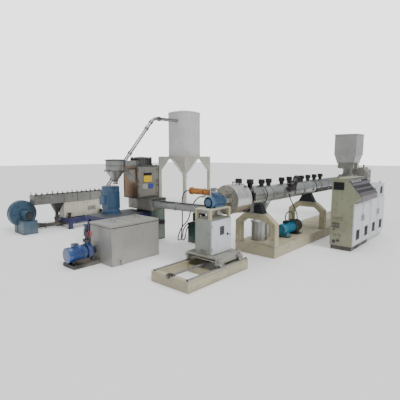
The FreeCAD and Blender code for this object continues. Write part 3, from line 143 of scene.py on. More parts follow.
def finish(name, base, rough=0.42, metal=0.0, mottle=0.16, dirt=0.35, dust=0.5, streaks=0.2, grain=None,
           bump=0.12, coat=0.0, zones=()):
    """Worn workshop finish: mottled colour, grime, run-down streaks, floor dust, brushed grain."""
    s = Shade(name)
    shade = base
    metallic = metal
    roughness = s.span(s.noise(5.0, 6.0), 0.3, 0.7, rough - 0.08, rough + 0.1)
    for limits, zone_base, zone_rough, zone_metal in zones:
        mask = s.inside(limits)
        shade = s.mix(mask, shade, zone_base)
        roughness = s.lerp(mask, roughness, zone_rough)
        metallic = s.lerp(mask, metallic, zone_metal)
    light = (1.0, 1.0, 1.0, 1.0)
    shadow = (1.0 - mottle, 1.0 - mottle, 1.0 - mottle, 1.0)
    shade = s.mix(1.0, shade, s.mix(s.span(s.noise(2.4, 6.0), 0.35, 0.65), shadow, light), "MULTIPLY")
    grime = s.math("MULTIPLY", s.span(s.noise(11.0, 9.0), 0.54, 0.76), dirt)
    shade = s.mix(grime, shade, GRIME)
    runs = s.math("MULTIPLY", s.span(s.noise(7.0, 5.0, (3.2, 3.2, 0.3)), 0.55, 0.8), streaks)
    shade = s.mix(runs, shade, GRIME)
    settled = s.math("MULTIPLY", s.span(s.axis["z"], 0.45, 0.0), s.span(s.noise(4.0, 7.0), 0.35, 0.75))
    shade = s.mix(s.math("MULTIPLY", settled, dust), shade, DUST)
    s.feed(s.shader.inputs["Base Color"], shade)
    s.feed(s.shader.inputs["Metallic"], metallic)
    worn = s.math("ADD", roughness, s.math("MULTIPLY", grime, 0.35))
    fine = s.noise(240.0, 3.0)
    if grain:
        lines = s.noise(46.0, 5.0, grain)
        worn = s.math("ADD", worn, s.span(lines, 0.3, 0.7, -0.07, 0.09))
        fine = lines
    s.feed(s.shader.inputs["Roughness"], worn)
    relief = s.new("Bump")
    relief.inputs["Strength"].default_value = bump
    relief.inputs["Distance"].default_value = 0.0012
    s.feed(relief.inputs["Height"], fine)
    s.feed(s.shader.inputs["Normal"], relief.outputs[0])
    s.shader.inputs["Coat Weight"].default_value = coat
    s.shader.inputs["Coat Roughness"].default_value = 0.18
    return s.material


STEEL = colour(176, 177, 176)
BLACK = colour(30, 30, 31)
FRAME = colour(180, 173, 142)
BRIGHT = colour(205, 206, 206)
ALONG_X, ALONG_Y, ALONG_Z = (0.05, 4, 4), (4, 0.05, 4), (4, 4, 0.05)
BLACK_ZONE = (BLACK, 0.5, 0.1)

frame_paint = finish("frame_paint", FRAME, rough=0.45, dirt=0.4, dust=0.75, streaks=0.3)
rail_paint = finish("rail_paint", FRAME, rough=0.45, dirt=0.4, dust=0.6, zones=[
    ({"z": (0.1605, 0.2)}, BRIGHT, 0.28, 1.0)])
cabinet_paint = finish("cabinet_paint", colour(150, 156, 147), rough=0.38, dirt=0.2, coat=0.15)
panel_paint = finish("panel_paint", colour(104, 120, 110), rough=0.4, dirt=0.35, streaks=0.35)
door_paint = finish("door_paint", colour(205, 208, 214), rough=0.36, mottle=0.08, dirt=0.16, coat=0.2)
console_paint = finish("console_paint", colour(152, 153, 128), rough=0.42, dirt=0.3, zones=[
    ({"z": (-0.01, 0.081)}, BLACK, 0.55, 0.0), ({"x": (2.2975, 3.4)}, colour(196, 199, 200), 0.4, 0.0)])
face_paint = finish("face_paint", colour(96, 92, 104), rough=0.4, mottle=0.1, dirt=0.15)
cover_steel = finish("cover_steel", colour(196, 198, 198), rough=0.34, metal=0.9, dirt=0.22, bump=0.35,
                     zones=[({"x": (-0.4, 0.0705), "z": (0.9, 1.3)}, colour(214, 214, 212), 0.2, 1.0),
                            ({"x": (2.232, 4.4), "z": (0.9, 1.06)}, colour(92, 92, 92), 0.6, 0.7),
                            ({"z": (0.7, 0.936)}, colour(150, 152, 152), 0.5, 0.6)])
sheet_steel = finish("sheet_steel", STEEL, rough=0.36, metal=0.9, dirt=0.2, grain=ALONG_Z)
long_steel = finish("long_steel", colour(160, 160, 156), rough=0.38, metal=0.85, dirt=0.35, grain=ALONG_X)
trough_steel = finish("trough_steel", STEEL, rough=0.3, metal=0.9, dirt=0.25, grain=ALONG_Y)
tank_steel = finish("tank_steel", colour(168, 167, 162), rough=0.44, metal=0.35, dirt=0.12, grain=ALONG_X,
                    mottle=0.08, streaks=0.15, dust=0.25, zones=[({"x": (-1.216, -1.0)}, BLACK, 0.45, 0.0)])
drum_steel = finish("drum_steel", colour(222, 222, 220), rough=0.34, metal=0.9, dirt=0.06, grain=(4, 1, 1),
                    zones=[({"z": (0.8, 1.0)}, colour(150, 140, 126), 0.45, 0.8),
                           ({"x": (-0.93, -0.9085)}, colour(168, 164, 152), 0.42, 0.7)])
housing_steel = finish("housing_steel", colour(158, 154, 146), rough=0.34, metal=0.5, dirt=0.2,
                       grain=ALONG_Z, streaks=0.4, zones=[
                           # Painted reflection: the housing's -X face is tinted tan for the surroundings its
                           # stainless reflects.
                           ({"x": (-1.01, -0.9995)}, colour(150, 122, 100), 0.34, 0.8),
                           ({"z": (1.586, 1.8)}, colour(104, 104, 102), 0.45, 0.8)])
bowl_steel = finish("bowl_steel", colour(166, 166, 162), rough=0.28, metal=0.85, dirt=0.2, grain=ALONG_Z)
hopper_steel = finish("hopper_steel", colour(180, 180, 178), rough=0.45, metal=0.35, dirt=0.2, grain=ALONG_Z)
pipe_steel = finish("pipe_steel", colour(150, 150, 150), rough=0.32, metal=1.0, dirt=0.2)
dark_steel = finish("dark_steel", colour(44, 48, 52), rough=0.5, metal=0.5, mottle=0.3, dirt=0.5)
changer_steel = finish("changer_steel", colour(120, 118, 114), rough=0.38, metal=0.9, dirt=0.5, zones=[
    ({"x": (-0.6, -0.466)}, colour(92, 86, 82), 0.4, 0.9)])
bright_steel = finish("bright_steel", colour(186, 187, 187), rough=0.3, metal=1.0, dirt=0.15, bump=0.08)
bolt_steel = finish("bolt_steel", colour(120, 122, 124), rough=0.35, metal=1.0, dirt=0.3)
silo_paint = finish("silo_paint", colour(208, 208, 207), rough=0.46, metal=0.25, mottle=0.07, dirt=0.08,
                    grain=ALONG_Z, bump=0.06)
silo_frame = finish("silo_frame", colour(178, 176, 162), rough=0.45, dirt=0.25, dust=0.6)
machine_grey = finish("machine_grey", colour(156, 155, 148), rough=0.45, metal=0.2, dirt=0.4, streaks=0.4)
carriage_paint = finish("carriage_paint", colour(150, 150, 140), rough=0.45, dirt=0.5, dust=0.7)
motor_blue = finish("motor_blue", colour(66, 98, 130), rough=0.4, dirt=0.3, coat=0.2)
pump_blue = finish("pump_blue", colour(8, 68, 136), rough=0.28, dirt=0.2, coat=0.6, zones=[
    ({"x": (-2.325, -2.2), "z": (0.0, 0.36)}, colour(40, 52, 70), 0.4, 0.3),
    ({"z": (0.36, 0.8)}, colour(66, 70, 78), 0.4, 0.6)])
vacuum_teal = finish("vacuum_teal", colour(30, 124, 154), rough=0.34, dirt=0.3, coat=0.4, zones=[
    ({"x": (1.151, 1.5)}, colour(56, 62, 66), 0.45, 0.4), ({"z": (0.46, 0.6)}, BLACK, 0.4, 0.3)])
blower_blue = finish("blower_blue", colour(62, 90, 110), rough=0.4, dirt=0.3, dust=0.2, coat=0.15,
                     streaks=0.3)
ram_orange = finish("ram_orange", colour(212, 136, 46), rough=0.32, dirt=0.5, coat=0.4, zones=[
    ({"y": (1.236, 1.3)}, BRIGHT, 0.3, 1.0), ({"z": (1.0, 1.0515)}, BRIGHT, 0.3, 1.0)])
unit_green = finish("unit_green", colour(20, 72, 64), rough=0.34, dirt=0.45, coat=0.3, zones=[
    ({"z": (0.4055, 0.7)}, BLACK, 0.4, 0.2), ({"x": (-0.14, -0.1005), "z": (0.42, 0.46)}, BRIGHT, 0.3, 1.0)])
navy_paint = finish("navy_paint", colour(28, 32, 92), rough=0.4, dirt=0.3, dust=0.15, zones=[
    ({"x": (-1.786, -0.694), "y": (2.104, 2.756), "z": (0.6395, 0.65)}, colour(112, 114, 116), 0.5, 0.5)])
box_paint = finish("box_paint", colour(206, 202, 184), rough=0.42, dirt=0.2, streaks=0.25)
black_paint = finish("black_paint", colour(36, 34, 33), rough=0.45, dirt=0.3, dust=0.6)
# Rubber of the hoses; also paints the shadow line under the water tank's lid.
rubber_and_painted_shadow = finish("rubber_and_painted_shadow", colour(26, 26, 27), rough=0.55, mottle=0.3, dirt=0.2, dust=0.3, bump=0.3)
plastic = finish("plastic", colour(28, 29, 31), rough=0.35, mottle=0.1, dirt=0.1, dust=0.1)
dial_white = finish("dial_white", colour(168, 168, 164), rough=0.3, mottle=0.05, dirt=0.05, dust=0.0)
plate_yellow = finish("plate_yellow", colour(226, 190, 44), rough=0.35, mottle=0.08, dirt=0.15, dust=0.0)
plate_blue = finish("plate_blue", colour(62, 76, 150), rough=0.35, mottle=0.08, dirt=0.15, dust=0.0)
plate_red = finish("plate_red", colour(176, 38, 34), rough=0.35, mottle=0.08, dirt=0.1, dust=0.0)
plate_green = finish("plate_green", colour(40, 130, 66), rough=0.35, mottle=0.08, dirt=0.1, dust=0.0)
grille_paint = finish("grille_paint", colour(34, 38, 44), rough=0.5, mottle=0.2, dirt=0.3)
cover_band = finish("cover_band", colour(160, 161, 160), rough=0.3, metal=1.0, dirt=0.4)
ram_cap = finish("ram_cap", colour(150, 82, 34), rough=0.36, dirt=0.5, coat=0.3)
meter_glass = finish("meter_glass", colour(20, 24, 30), rough=0.12, mottle=0.1, dirt=0.1, dust=0.0, coat=0.8)
stand_top = finish("stand_top", colour(196, 192, 172), rough=0.42, dirt=0.4)
pipe_black = finish("pipe_black", BLACK, rough=0.35, dirt=0.2, dust=0.2, coat=0.2)
pump_iron = finish("pump_iron", colour(44, 66, 104), rough=0.42, metal=0.3, dirt=0.5)
tread_steel = finish("tread_steel", colour(128, 130, 132), rough=0.38, metal=0.7, dirt=0.5)
housing_frame = finish("housing_frame", colour(120, 120, 118), rough=0.34, metal=0.9, dirt=0.4)
rotor_steel = finish("rotor_steel", colour(96, 96, 95), rough=0.42, metal=0.8, dirt=0.5)
coupling_steel = finish("coupling_steel", colour(130, 130, 130), rough=0.35, metal=0.9, dirt=0.4)

CAD_FINISH = {
    frame_paint: ("extruder_base", "portals", "gearbox_stand", "trolley_cross_channels", "trolley_stand"),
    rail_paint: ("trolley_side_rails",),
    dark_steel: ("barrel_saddles", "barrel"),
    cover_steel: ("barrel_covers",),
    black_paint: ("heater_terminal_boxes", "vent_port", "pump_skid", "feed_funnel", "blower_pipe"),
    vacuum_teal: ("vacuum_pump",),
    sheet_steel: ("separator_tanks",),
    changer_steel: ("screen_changer",),
    ram_orange: ("changer_cylinder",),
    bright_steel: ("changer_bracket", "trolley_screw", "front_wheelset", "rear_wheelset"),
    unit_green: ("hydraulic_unit",),
    machine_grey: ("feed_throat", "gearbox"),
    hopper_steel: ("hopper",),
    motor_blue: ("main_motor", "cutter_motor", "upright_motor"),
    box_paint: ("belt_guard", "screen_box"),
    console_paint: ("control_cabinets",),
    door_paint: ("console_door_left", "console_door_right", "rear_door_left", "rear_door_right",
                 "trolley_door"),
    carriage_paint: ("trolley_carriage",),
    cabinet_paint: ("trolley_cabinet",),
    panel_paint: ("dewatering_base",),
    drum_steel: ("pelletizer_drum",),
    trough_steel: ("discharge_trough",),
    tank_steel: ("water_tank", "tank_lid"),
    pump_blue: ("water_pump",),
    navy_paint: ("dewatering_platform", "screen_stand"),
    housing_steel: ("dewatering_housing",),
    bowl_steel: ("cyclone_bowl",),
    long_steel: ("screen_tray",),
    blower_blue: ("blower",),
    pipe_steel: ("riser_pipe",),
    silo_paint: ("silo_shell", "silo_lid"),
    silo_frame: ("silo_legs", "silo_ring"),
}
for material, names in CAD_FINISH.items():
    for node_name in names:
        mesh = NODES[node_name].data
        mesh.materials.clear()
        mesh.materials.append(material)


# ---- mesh pieces -----------------------------------------------------------------------------
class Piece:
    """One detail piece, gathered in millimetres and finished as one object."""

    def __init__(self, name, material, slot, body="line"):
        self.name = name
        self.material = material
        self.slot = slot
        self.body = body
        self.mesh = bmesh.new()

    def slab(self, centre, along, out, size):
        """Box: size is its length along one direction, its width, and its height outwards."""
        turn = Matrix((along, out.cross(along), out)).transposed().to_4x4()
        scale = Matrix.Diagonal((size[0] * MM, size[1] * MM, size[2] * MM, 1.0))
        bmesh.ops.create_cube(self.mesh, size=1.0, matrix=Matrix.Translation(centre * MM) @ turn @ scale)

    def box(self, x, y, z):
        """Box between the two values of each pair, given either way round."""
        centre = Vector((sum(x) / 2, sum(y) / 2, sum(z) / 2))
        self.slab(centre, X, Z, [abs(pair[1] - pair[0]) for pair in (x, y, z)])

    def rod(self, radius, start, end, sides=28, end_radius=None):
        """Cylinder or cone frustum between two points."""
        way = end - start
        turn = way.to_track_quat("Z", "Y").to_matrix().to_4x4()
        place = Matrix.Translation((start + end) / 2 * MM) @ turn
        tip = radius if end_radius is None else end_radius
        bmesh.ops.create_cone(self.mesh, cap_ends=True, segments=sides, radius1=radius * MM,
                              radius2=tip * MM, depth=way.length * MM, matrix=place)

    def lathe(self, start, way, profile, sides=56):
        """Closed ring of revolution: profile is (radius, distance along the way) corners."""
        out = way.orthogonal().normalized()
        side = way.cross(out)
        loops = []
        for radius, travel in profile:
            loop = []
            for step in range(sides):
                angle = 2 * math.pi * step / sides
                point = start + way * travel + (out * math.cos(angle) + side * math.sin(angle)) * radius
                loop.append(self.mesh.verts.new(point * MM))
            loops.append(loop)
        for first, second in zip(loops, loops[1:] + loops[:1]):
            for step in range(sides):
                after = (step + 1) % sides
                self.mesh.faces.new((first[step], first[after], second[after], second[step]))

    def ring(self, outer, inner, start, end):
        """Flat-faced ring between two points."""
        way = end - start
        reach = way.length
        self.lathe(start, way.normalized(), [(inner, 0), (outer, 0), (outer, reach), (inner, reach)])

    def hoop(self, radius, thick, centre, way, sides=48):
        """Round bar bent to a full circle."""
        profile = []
        for step in range(8):
            angle = math.pi * step / 4
            profile.append((radius + thick * math.cos(angle), thick * math.sin(angle)))
        self.lathe(centre, way, profile, sides)

    def bolts(self, points, out, size=9.0, height=8.0):
        """Hexagon heads with washers standing on a face."""
        for point in points:
            self.rod(size * 1.45, point, point + out * 2.0, 16)
            self.rod(size, point + out * 2.0, point + out * height, 6)

    def done(self, edge=1.6):
        """Turn the gathered shapes into an object that rides on its body."""
        bmesh.ops.recalc_face_normals(self.mesh, faces=self.mesh.faces)
        data = bpy.data.meshes.new(self.name)
        self.mesh.to_mesh(data)
        self.mesh.free()
        data.materials.append(self.material)
        for polygon in data.polygons:
            polygon.use_smooth = True
        data.set_sharp_from_angle(angle=math.radians(35))
        piece = bpy.data.objects.new(self.name, data)
        bpy.context.scene.collection.objects.link(piece)
        bevel = piece.modifiers.new("edges", "BEVEL")
        bevel.width = edge * MM
        bevel.segments = 2
        bevel.limit_method = "ANGLE"
        bevel.angle_limit = math.radians(40)
        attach(piece, self.body)
        return piece


def spin(way, centre, radius, count, start=0.0, sweep=360.0):
    """Points round a circle across a direction, each with its outward direction."""
    upright = Z if abs(way.z) < 0.9 else X
    out = (upright - way * upright.dot(way)).normalized()
    side = way.cross(out)
    spots = []
    for step in range(count):
        angle = math.radians(start + sweep * step / count)
        ray = out * math.cos(angle) + side * math.sin(angle)
        spots.append((centre + ray * radius, ray))
    return spots


def circle(*args):
    """Points of a bolt circle, without their directions."""
    return [point for point, _ in spin(*args)]


def at(x, y, z):
    return Vector((x, y, z))


def grid(xs, ys, zs):
    """Every combination of three lists of coordinates."""
    return [at(x, y, z) for x in xs for y in ys for z in zs]


def steps(low, high, count):
    """Evenly spaced values with both ends."""
    return [low + (high - low) * i / (count - 1) for i in range(count)]


def motor(name, material, slot, body, fan_end, flange_end, radius, box_out, fins=30):
    """Fins, end rings, fan cowl, terminal box and bolts of a motor whose body is a CAD cylinder."""
    way = (flange_end - fan_end).normalized()
    length = (flange_end - fan_end).length
    cowl = length * 0.2
    piece = Piece(name + "_fins", material, slot, body)
    rim = radius + 7
    piece.lathe(fan_end, way, [(radius - 26, 0), (rim - 8, 0), (rim, 9), (rim, cowl), (radius - 2, cowl)])
    fin_length = length * 0.64
    middle = fan_end + way * (cowl + 8 + fin_length / 2)
    for point, ray in spin(way, middle, radius + 4, fins, 6):
        if ray.dot(box_out) < 0.86:
            piece.slab(point, way, ray, (fin_length, 3.4, 17))
    piece.ring(rim + 3, radius - 2, flange_end - way * length * 0.1, flange_end - way * length * 0.03)
    face = fan_end + way * (cowl + fin_length / 2) + box_out * (radius + 20)
    side = way.cross(box_out)
    piece.slab(face, way, box_out, (length * 0.3, radius * 0.8, 48))
    piece.slab(face + box_out * 27, way, box_out, (length * 0.33, radius * 0.87, 8))
    for turn in (-1, 1):
        gland = face + side * turn * radius * 0.4 - way * length * 0.07
        piece.rod(11, gland, gland + side * turn * 20, 12)
    piece.done()
    grille = Piece(name + "_grille", plastic, slot, body)
    for count in range(1, 4):
        grille.hoop((radius - 22) * count / 3, 2.4, fan_end + way * 4, way)
    for point, ray in spin(way, fan_end + way * 4, radius * 0.45, 8):
        grille.slab(point, ray, way, (radius * 0.7, 4, 4))
    grille.bolts(circle(way, flange_end - way * length * 0.03, radius - 8, 6), way, 7, 6)
    grille.done(0.6)


# ---- extruder base, portals and barrel -------------------------------------------------------
AXIS = 1085.0
CHANGER_X = -412.5
RAM_Z = AXIS + 27
STAND_Z = 995.0
BASE_LOW, BASE_HIGH = extent("extruder_base")
COVER_R = 150.0
FRONT_R = 172.0


def base_details():
    """Deck seams, portal bolts and weld plates of the extruder base."""
    seams = Piece("base_seams", carriage_paint, "frame_paint")
    bolts = Piece("base_bolts", bolt_steel, "bright_steel")
    for x in steps(BASE_LOW.x + 820, BASE_HIGH.x - 820, 4):
        seams.box((x - 3, x + 3), (-BASE_HIGH.y + 20, BASE_HIGH.y - 20), (BASE_HIGH.z - 2, BASE_HIGH.z + 2.5))
    seams.done()
    for x in (0, 2100):
        for side in (-1, 1):
            bolts.bolts(grid((x - 40, x + 40), (side * 340, side * 395), (BASE_HIGH.z,)), Z, 10, 12)
            bolts.bolts(grid((x - 42, x + 42), (side * 150,), (755,)), Z, 10, 16)
    bolts.done(0.8)
    welds = Piece("portal_welds", carriage_paint, "frame_paint")
    for x in (0, 2100):
        for side in (-1, 1):
            welds.box((x - 82, x + 82), (side * 308, side * 424), (BASE_HIGH.z, BASE_HIGH.z + 12))
        welds.box((x - 88, x + 88), (-192, 192), (750, 768))
    welds.done(2.0)


def cover_details():
    """Bands, seam collars, lengthwise flange with its latches, and rivet rows of the barrel covers."""
    bands = Piece("cover_bands", cover_band, "cover_steel")
    collar = Piece("cover_collars", dark_steel, "dark_steel")
    latch = Piece("cover_latches", bolt_steel, "bright_steel")
    for x in steps(330, 4250, 10):
        bands.ring(COVER_R + 3.5, COVER_R - 3, at(x - 13, 0, AXIS), at(x + 13, 0, AXIS))
        latch.slab(at(x, -COVER_R - 5, AXIS - 40), Z, -Y, (46, 20, 9))
        latch.rod(4, at(x - 12, -COVER_R - 11, AXIS - 22), at(x + 12, -COVER_R - 11, AXIS - 22), 10)
        latch.slab(at(x, COVER_R + 5, AXIS - 40), Z, Y, (46, 20, 9))
    for x in (-340, -30):
        bands.ring(FRONT_R + 4, FRONT_R - 3, at(x - 16, 0, AXIS), at(x + 16, 0, AXIS))
    for side in (-1, 1):
        bands.box((-330, 60), (side * (FRONT_R - 6), side * (FRONT_R + 9)), (AXIS - 3, AXIS + 3))
        bands.box((90, 4340), (side * (COVER_R - 6), side * (COVER_R + 9)), (AXIS - 3, AXIS + 3))
    bands.done(0.8)
    latch.done(0.8)
    for x, radius in ((72, FRONT_R + 3), (2232, COVER_R + 7), (4352, COVER_R + 9), (-352, FRONT_R + 5)):
        collar.ring(radius, 102, at(x - 10, 0, AXIS), at(x + 10, 0, AXIS))
    for x in steps(2330, 4260, 27):
        ridge = [(COVER_R - 4, -5), (COVER_R + 2, -5), (COVER_R + 2, 5), (COVER_R - 4, 5)]
        collar.lathe(at(x, 0, AXIS), X, ridge, 40)
    collar.done(0.8)
    rivets = Piece("cover_rivets", bolt_steel, "bright_steel")
    for x in steps(120, 4300, 60):
        for side in (-1, 1):
            rivets.rod(3.4, at(x, side * (COVER_R + 3), AXIS + 9), at(x, side * (COVER_R + 8), AXIS + 9), 8)
    rivets.done(0.4)


def terminal_details():
    """Lid, screws, cable gland and cooling ribs on each heater terminal box."""
    lids = Piece("terminal_lids", plastic, "black_paint")
    screws = Piece("terminal_screws", bolt_steel, "bright_steel")
    spots = [(x, 0.0, AXIS + COVER_R + 50.0) for x in (140, 386, 882, 1195, 1756, 2075, 2409, 2747)]
    spots += [(CHANGER_X, side * 118.0, AXIS + 210.0) for side in (-1, 1)]
    for x, y, z in spots:
        lids.box((x - 43, x + 43), (y - 44, y + 44), (z + 70, z + 77))
        lids.box((x - 33, x + 33), (y - 34, y + 34), (z - 8, z + 3))
        lids.rod(11, at(x, y - 41, z + 34), at(x, y - 58, z + 34), 14)
        lids.rod(14, at(x, y - 58, z + 34), at(x, y - 66, z + 34), 6)
        for rib in (12, 24, 46, 58):
            lids.box((x - 42.5, x + 42.5), (y - 43.5, y + 43.5), (z + rib - 2, z + rib + 2))
        for dx in (-34, 34):
            for dy in (-35, 35):
                screws.rod(4.5, at(x + dx, y + dy, z + 76), at(x + dx, y + dy, z + 80), 10)
    lids.done(1.4)
    screws.done(0.5)


def vent_details():
    """Bolted flanges, sight glass and clamp lever of the vent port."""
    rise = math.radians(30)
    way = at(math.cos(rise), 0, math.sin(rise))
    start = at(985, -135, AXIS + 65)
    end = start + way * 340
    piece = Piece("vent_flanges", dark_steel, "black_paint")
    piece.ring(80, 40, end, end + way * 12)
    piece.ring(70, 58, start + way * 150, start + way * 178)
    piece.box((950, 1182), (-184, -88), (AXIS + 96, AXIS + 108))
    piece.slab(end + way * 20 + Z * 20, Y, way, (130, 14, 10))
    piece.done(1.5)
    bolts = Piece("vent_bolts", bolt_steel, "bright_steel")
    bolts.bolts(circle(way, end + way * 12, 68, 8, 22), way, 7, 9)
    bolts.bolts(grid((962, 1050, 1168), (-180,), (AXIS + 60, AXIS + 130)), -Y, 7, 7)
    bolts.ring(19, 12, at(862, -190, 1076), at(862, -190, 1092))
    bolts.done(0.6)


def vacuum_details():
    """Motor details, head bolts and piping of the vacuum pump, and the separator tanks' fittings."""
    vac_y, vac_z = -105, 350
    motor("vacuum_motor", vacuum_teal, "vacuum_teal", "line",
          at(700, vac_y, vac_z), at(1150, vac_y, vac_z), 98, Z, 26)
    head = Piece("vacuum_head", dark_steel, "black_paint")
    for x in (1152, 1262, 1384):
        head.ring(124, 90, at(x, vac_y, vac_z), at(x + 16, vac_y, vac_z))
    head.rod(34, at(1398, vac_y, vac_z), at(1412, vac_y, vac_z), 24)
    head.ring(27, 17, at(1086, vac_y, 483), at(1104, vac_y, 483))
    head.ring(30, 18, at(1190, vac_y, 456), at(1190, vac_y, 470))
    head.box((1180, 1372), (-240, 30), (190, 204))
    head.box((770, 900), (-240, 30), (190, 202))
    head.done(1.2)
    bolts = Piece("vacuum_bolts", bolt_steel, "bright_steel")
    for x in (1168, 1400):
        bolts.bolts(circle(X, at(x, vac_y, vac_z), 108, 10, 9), X, 7, 8)
    bolts.bolts(grid((1195, 1357, 785, 885), (-225, 15), (203,)), Z, 8, 11)
    bolts.done(0.6)
    tank = Piece("separator_fittings", trough_steel, "sheet_steel")
    for x, y, radius, height in ((330, 150, 145, 350), (640, 190, 110, 330)):
        top = 190 + height
        tank.ring(radius + 16, radius - 20, at(x, y, top - 14), at(x, y, top))
        tank.ring(radius + 16, radius - 40, at(x, y, top + 1), at(x, y, top + 13))
        dome = [(2, 0), (radius - 20, 0), (radius - 34, 16), (radius * 0.5, 30), (2, 36)]
        tank.lathe(at(x, y, top + 12), Z, dome)
        tank.ring(radius + 12, radius - 20, at(x, y, 190), at(x, y, 202))
        for mark in (0.35, 0.68):
            tank.ring(radius + 3, radius - 2, at(x, y, 190 + height * mark), at(x, y, 196 + height * mark))
        tank.rod(16, at(x, y - radius, 250), at(x, y - radius - 44, 250), 18)
        tank.rod(8, at(x + radius + 20, y, 240), at(x + radius + 20, y, top - 60), 14)
        for z in (252, top - 72):
            tank.rod(7, at(x + radius - 4, y, z), at(x + radius + 24, y, z), 12)
        tank.bolts(circle(Z, at(x, y, top + 13), radius + 6, 12), Z, 6, 6)
    tank.done(1.0)


def changer_details():
    """Cap screws, heater cartridges, clamp bars and ram fittings of the screen changer."""
    bolts = Piece("changer_bolts", bolt_steel, "bright_steel")
    bolts.bolts(grid((-465,), (-135, -60, 60, 135), (865, 1218)), -X, 10, 12)
    bolts.bolts(grid((-465,), (-140, 140), (950, 1040, 1130)), -X, 10, 12)
    bolts.bolts(grid((-360,), (-140, 140), (870, 960, 1050, 1140, 1220)), X, 10, 12)
    bolts.bolts(circle(X, at(-504, 0, AXIS), 146, 12), X, 10, 12)
    bolts.done(0.8)
    piece = Piece("changer_plates", dark_steel, "dark_steel")
    for z in (878, 1192):
        piece.box((-474, -464), (-150, 150), (z - 26, z + 26))
    piece.box((-440, -385), (-218, -165), (RAM_Z - 60, RAM_Z + 60))
    piece.box((-452, -373), (-172, -164), (RAM_Z - 84, RAM_Z + 84))
    for z in steps(RAM_Z - 60, RAM_Z + 60, 4):
        piece.rod(7, at(CHANGER_X, -218, z), at(CHANGER_X, -236, z), 12)
    for y in (-60, 60):
        piece.rod(15, at(CHANGER_X, y, 1244), at(CHANGER_X, y, 1268), 16)
    piece.done(1.5)
    ram = Piece("ram_fittings", ram_cap, "ram_orange")
    for y in (708, 1198):
        ram.ring(72, 40, at(CHANGER_X, y, RAM_Z), at(CHANGER_X, y + 36, RAM_Z))
    ram.ring(66, 56, at(CHANGER_X, 868, RAM_Z), at(CHANGER_X, 898, RAM_Z))
    ram.rod(22, at(CHANGER_X, 1235, RAM_Z), at(CHANGER_X, 1246, RAM_Z), 6)
    ram.done(1.6)
    rods = Piece("ram_tie_rods", bright_steel, "bright_steel")
    for point, _ in spin(Y, at(CHANGER_X, 700, RAM_Z), 66, 4, 45):
        rods.rod(5.5, point, point + Y * 548, 12)
        rods.rod(10, point + Y * 534, point + Y * 545, 6)
    for dx in (-50, 50):
        for dz in (-70, 70):
            rods.rod(17, at(CHANGER_X + dx, 705, RAM_Z + dz), at(CHANGER_X + dx, 719, RAM_Z + dz), 6)
    rods.done(0.6)


def hydraulic_details():
    """Filler, sight glass, motor and valves of the hydraulic unit."""
    unit = Piece("unit_fittings", black_paint, "black_paint")
    unit.box((-196, 366), (1134, 1546), (397, 411))
    for z in (60, 345):
        unit.box((-193, -189), (1150, 1530), (z - 4, z + 4))
    for x in (-150, 320):
        for y in (1165, 1515):
            unit.box((x - 28, x + 28), (y - 22, y + 22), (0, 12))
    unit.rod(88, at(230, 1260, 411), at(230, 1260, 420), 36)
    unit.rod(28, at(-140, 1190, 411), at(-140, 1190, 440), 20)
    unit.rod(40, at(-140, 1190, 440), at(-140, 1190, 462), 24)
    for z in (470, 520, 570):
        unit.box((-108, 118), (1314, 1491), (z - 3, z + 3))
    for y in (1360, 1440):
        unit.rod(20, at(110, y, 520), at(172, y, 520), 20)
    unit.done(1.6)
    motor("unit_motor", unit_green, "unit_green", "line", at(230, 1260, 640), at(230, 1260, 420), 78, -Y, 22)
    glass = Piece("unit_gauge", dial_white, "door_paint")
    glass.rod(24, at(-60, 1316, 560), at(-60, 1300, 560), 28)
    glass.box((-197, -190), (1180, 1196), (150, 300))
    glass.done(1.0)
    shell = Piece("unit_motor_body", unit_green, "unit_green")
    shell.lathe(at(230, 1260, 420), Z, [(2, 0), (79, 0), (79, 200), (70, 218), (2, 218)])
    shell.done()


# ---- drive end -------------------------------------------------------------------------------
def hopper_details():
    """Folded rim, seams and flange bolts of the hopper, and its feeder's covers."""
    low, high = extent("hopper")
    mid = (low.x + high.x) / 2
    rim = Piece("hopper_rim", hopper_steel, "sheet_steel")
    for sign in (-1, 1):
        rim.box((low.x - 12, high.x + 12), (sign * 281, sign * 299), (high.z - 26, high.z + 3))
        rim.box((mid + sign * 281, mid + sign * 299), (-285, 285), (high.z - 26, high.z + 3))
        rim.box((low.x - 4, high.x + 4), (sign * 284, sign * 291), (1806, 1826))
        rim.box((mid + sign * 284, mid + sign * 291), (-285, 285), (1806, 1826))
        for other in (-1, 1):
            rim.box((mid + sign * 270, mid + sign * 288), (other * 270, other * 288), (1826, high.z - 26))
        rim.box((low.x - 2, high.x + 2), (sign * 285, sign * 288), (2080, 2092))
    rim.done(2.0)
    fit = Piece("hopper_fittings", bolt_steel, "bright_steel")
    fit.bolts(grid(steps(mid - 222, mid + 222, 6), (-229, 229), (1590,)), Z, 7, 9)
    fit.bolts(grid((mid - 229, mid + 229), steps(-150, 150, 4), (1590,)), Z, 7, 9)
    fit.done(0.8)
    feed = Piece("feeder_details", machine_grey, "machine_grey")
    for side in (-1, 1):
        feed.ring(92, 40, at(mid, side * 200, 1510), at(mid, side * 216, 1510))
        feed.ring(76, 30, at(mid, side * 248, 1510), at(mid, side * 262, 1510))
        for point, ray in spin(Y, at(mid, side * 232, 1510), 70, 8):
            feed.slab(point, Y, ray, (34, 6, 14))
    feed.box((mid - 120, mid + 120), (-120, 120), (1262, 1282))
    feed.box((mid - 120, mid + 120), (-120, 120), (1420, 1440))
    feed.box((4436, 4462), (-185, 185), (900, 1270))
    feed.box((4768, 4794), (-185, 185), (900, 1270))
    feed.done(2.0)
    bolts = Piece("feeder_bolts", bolt_steel, "bright_steel")
    for side in (-1, 1):
        bolts.bolts(circle(Y, at(mid, side * 216, 1510), 80, 8), Y * side, 7, 8)
    bolts.bolts(grid((mid - 105, mid + 105), (-105, 0, 105), (1282,)), Z, 8, 10)
    bolts.bolts(grid((4436,), (-160, 160), steps(930, 1240, 5)), -X, 9, 10)
    bolts.done(0.7)


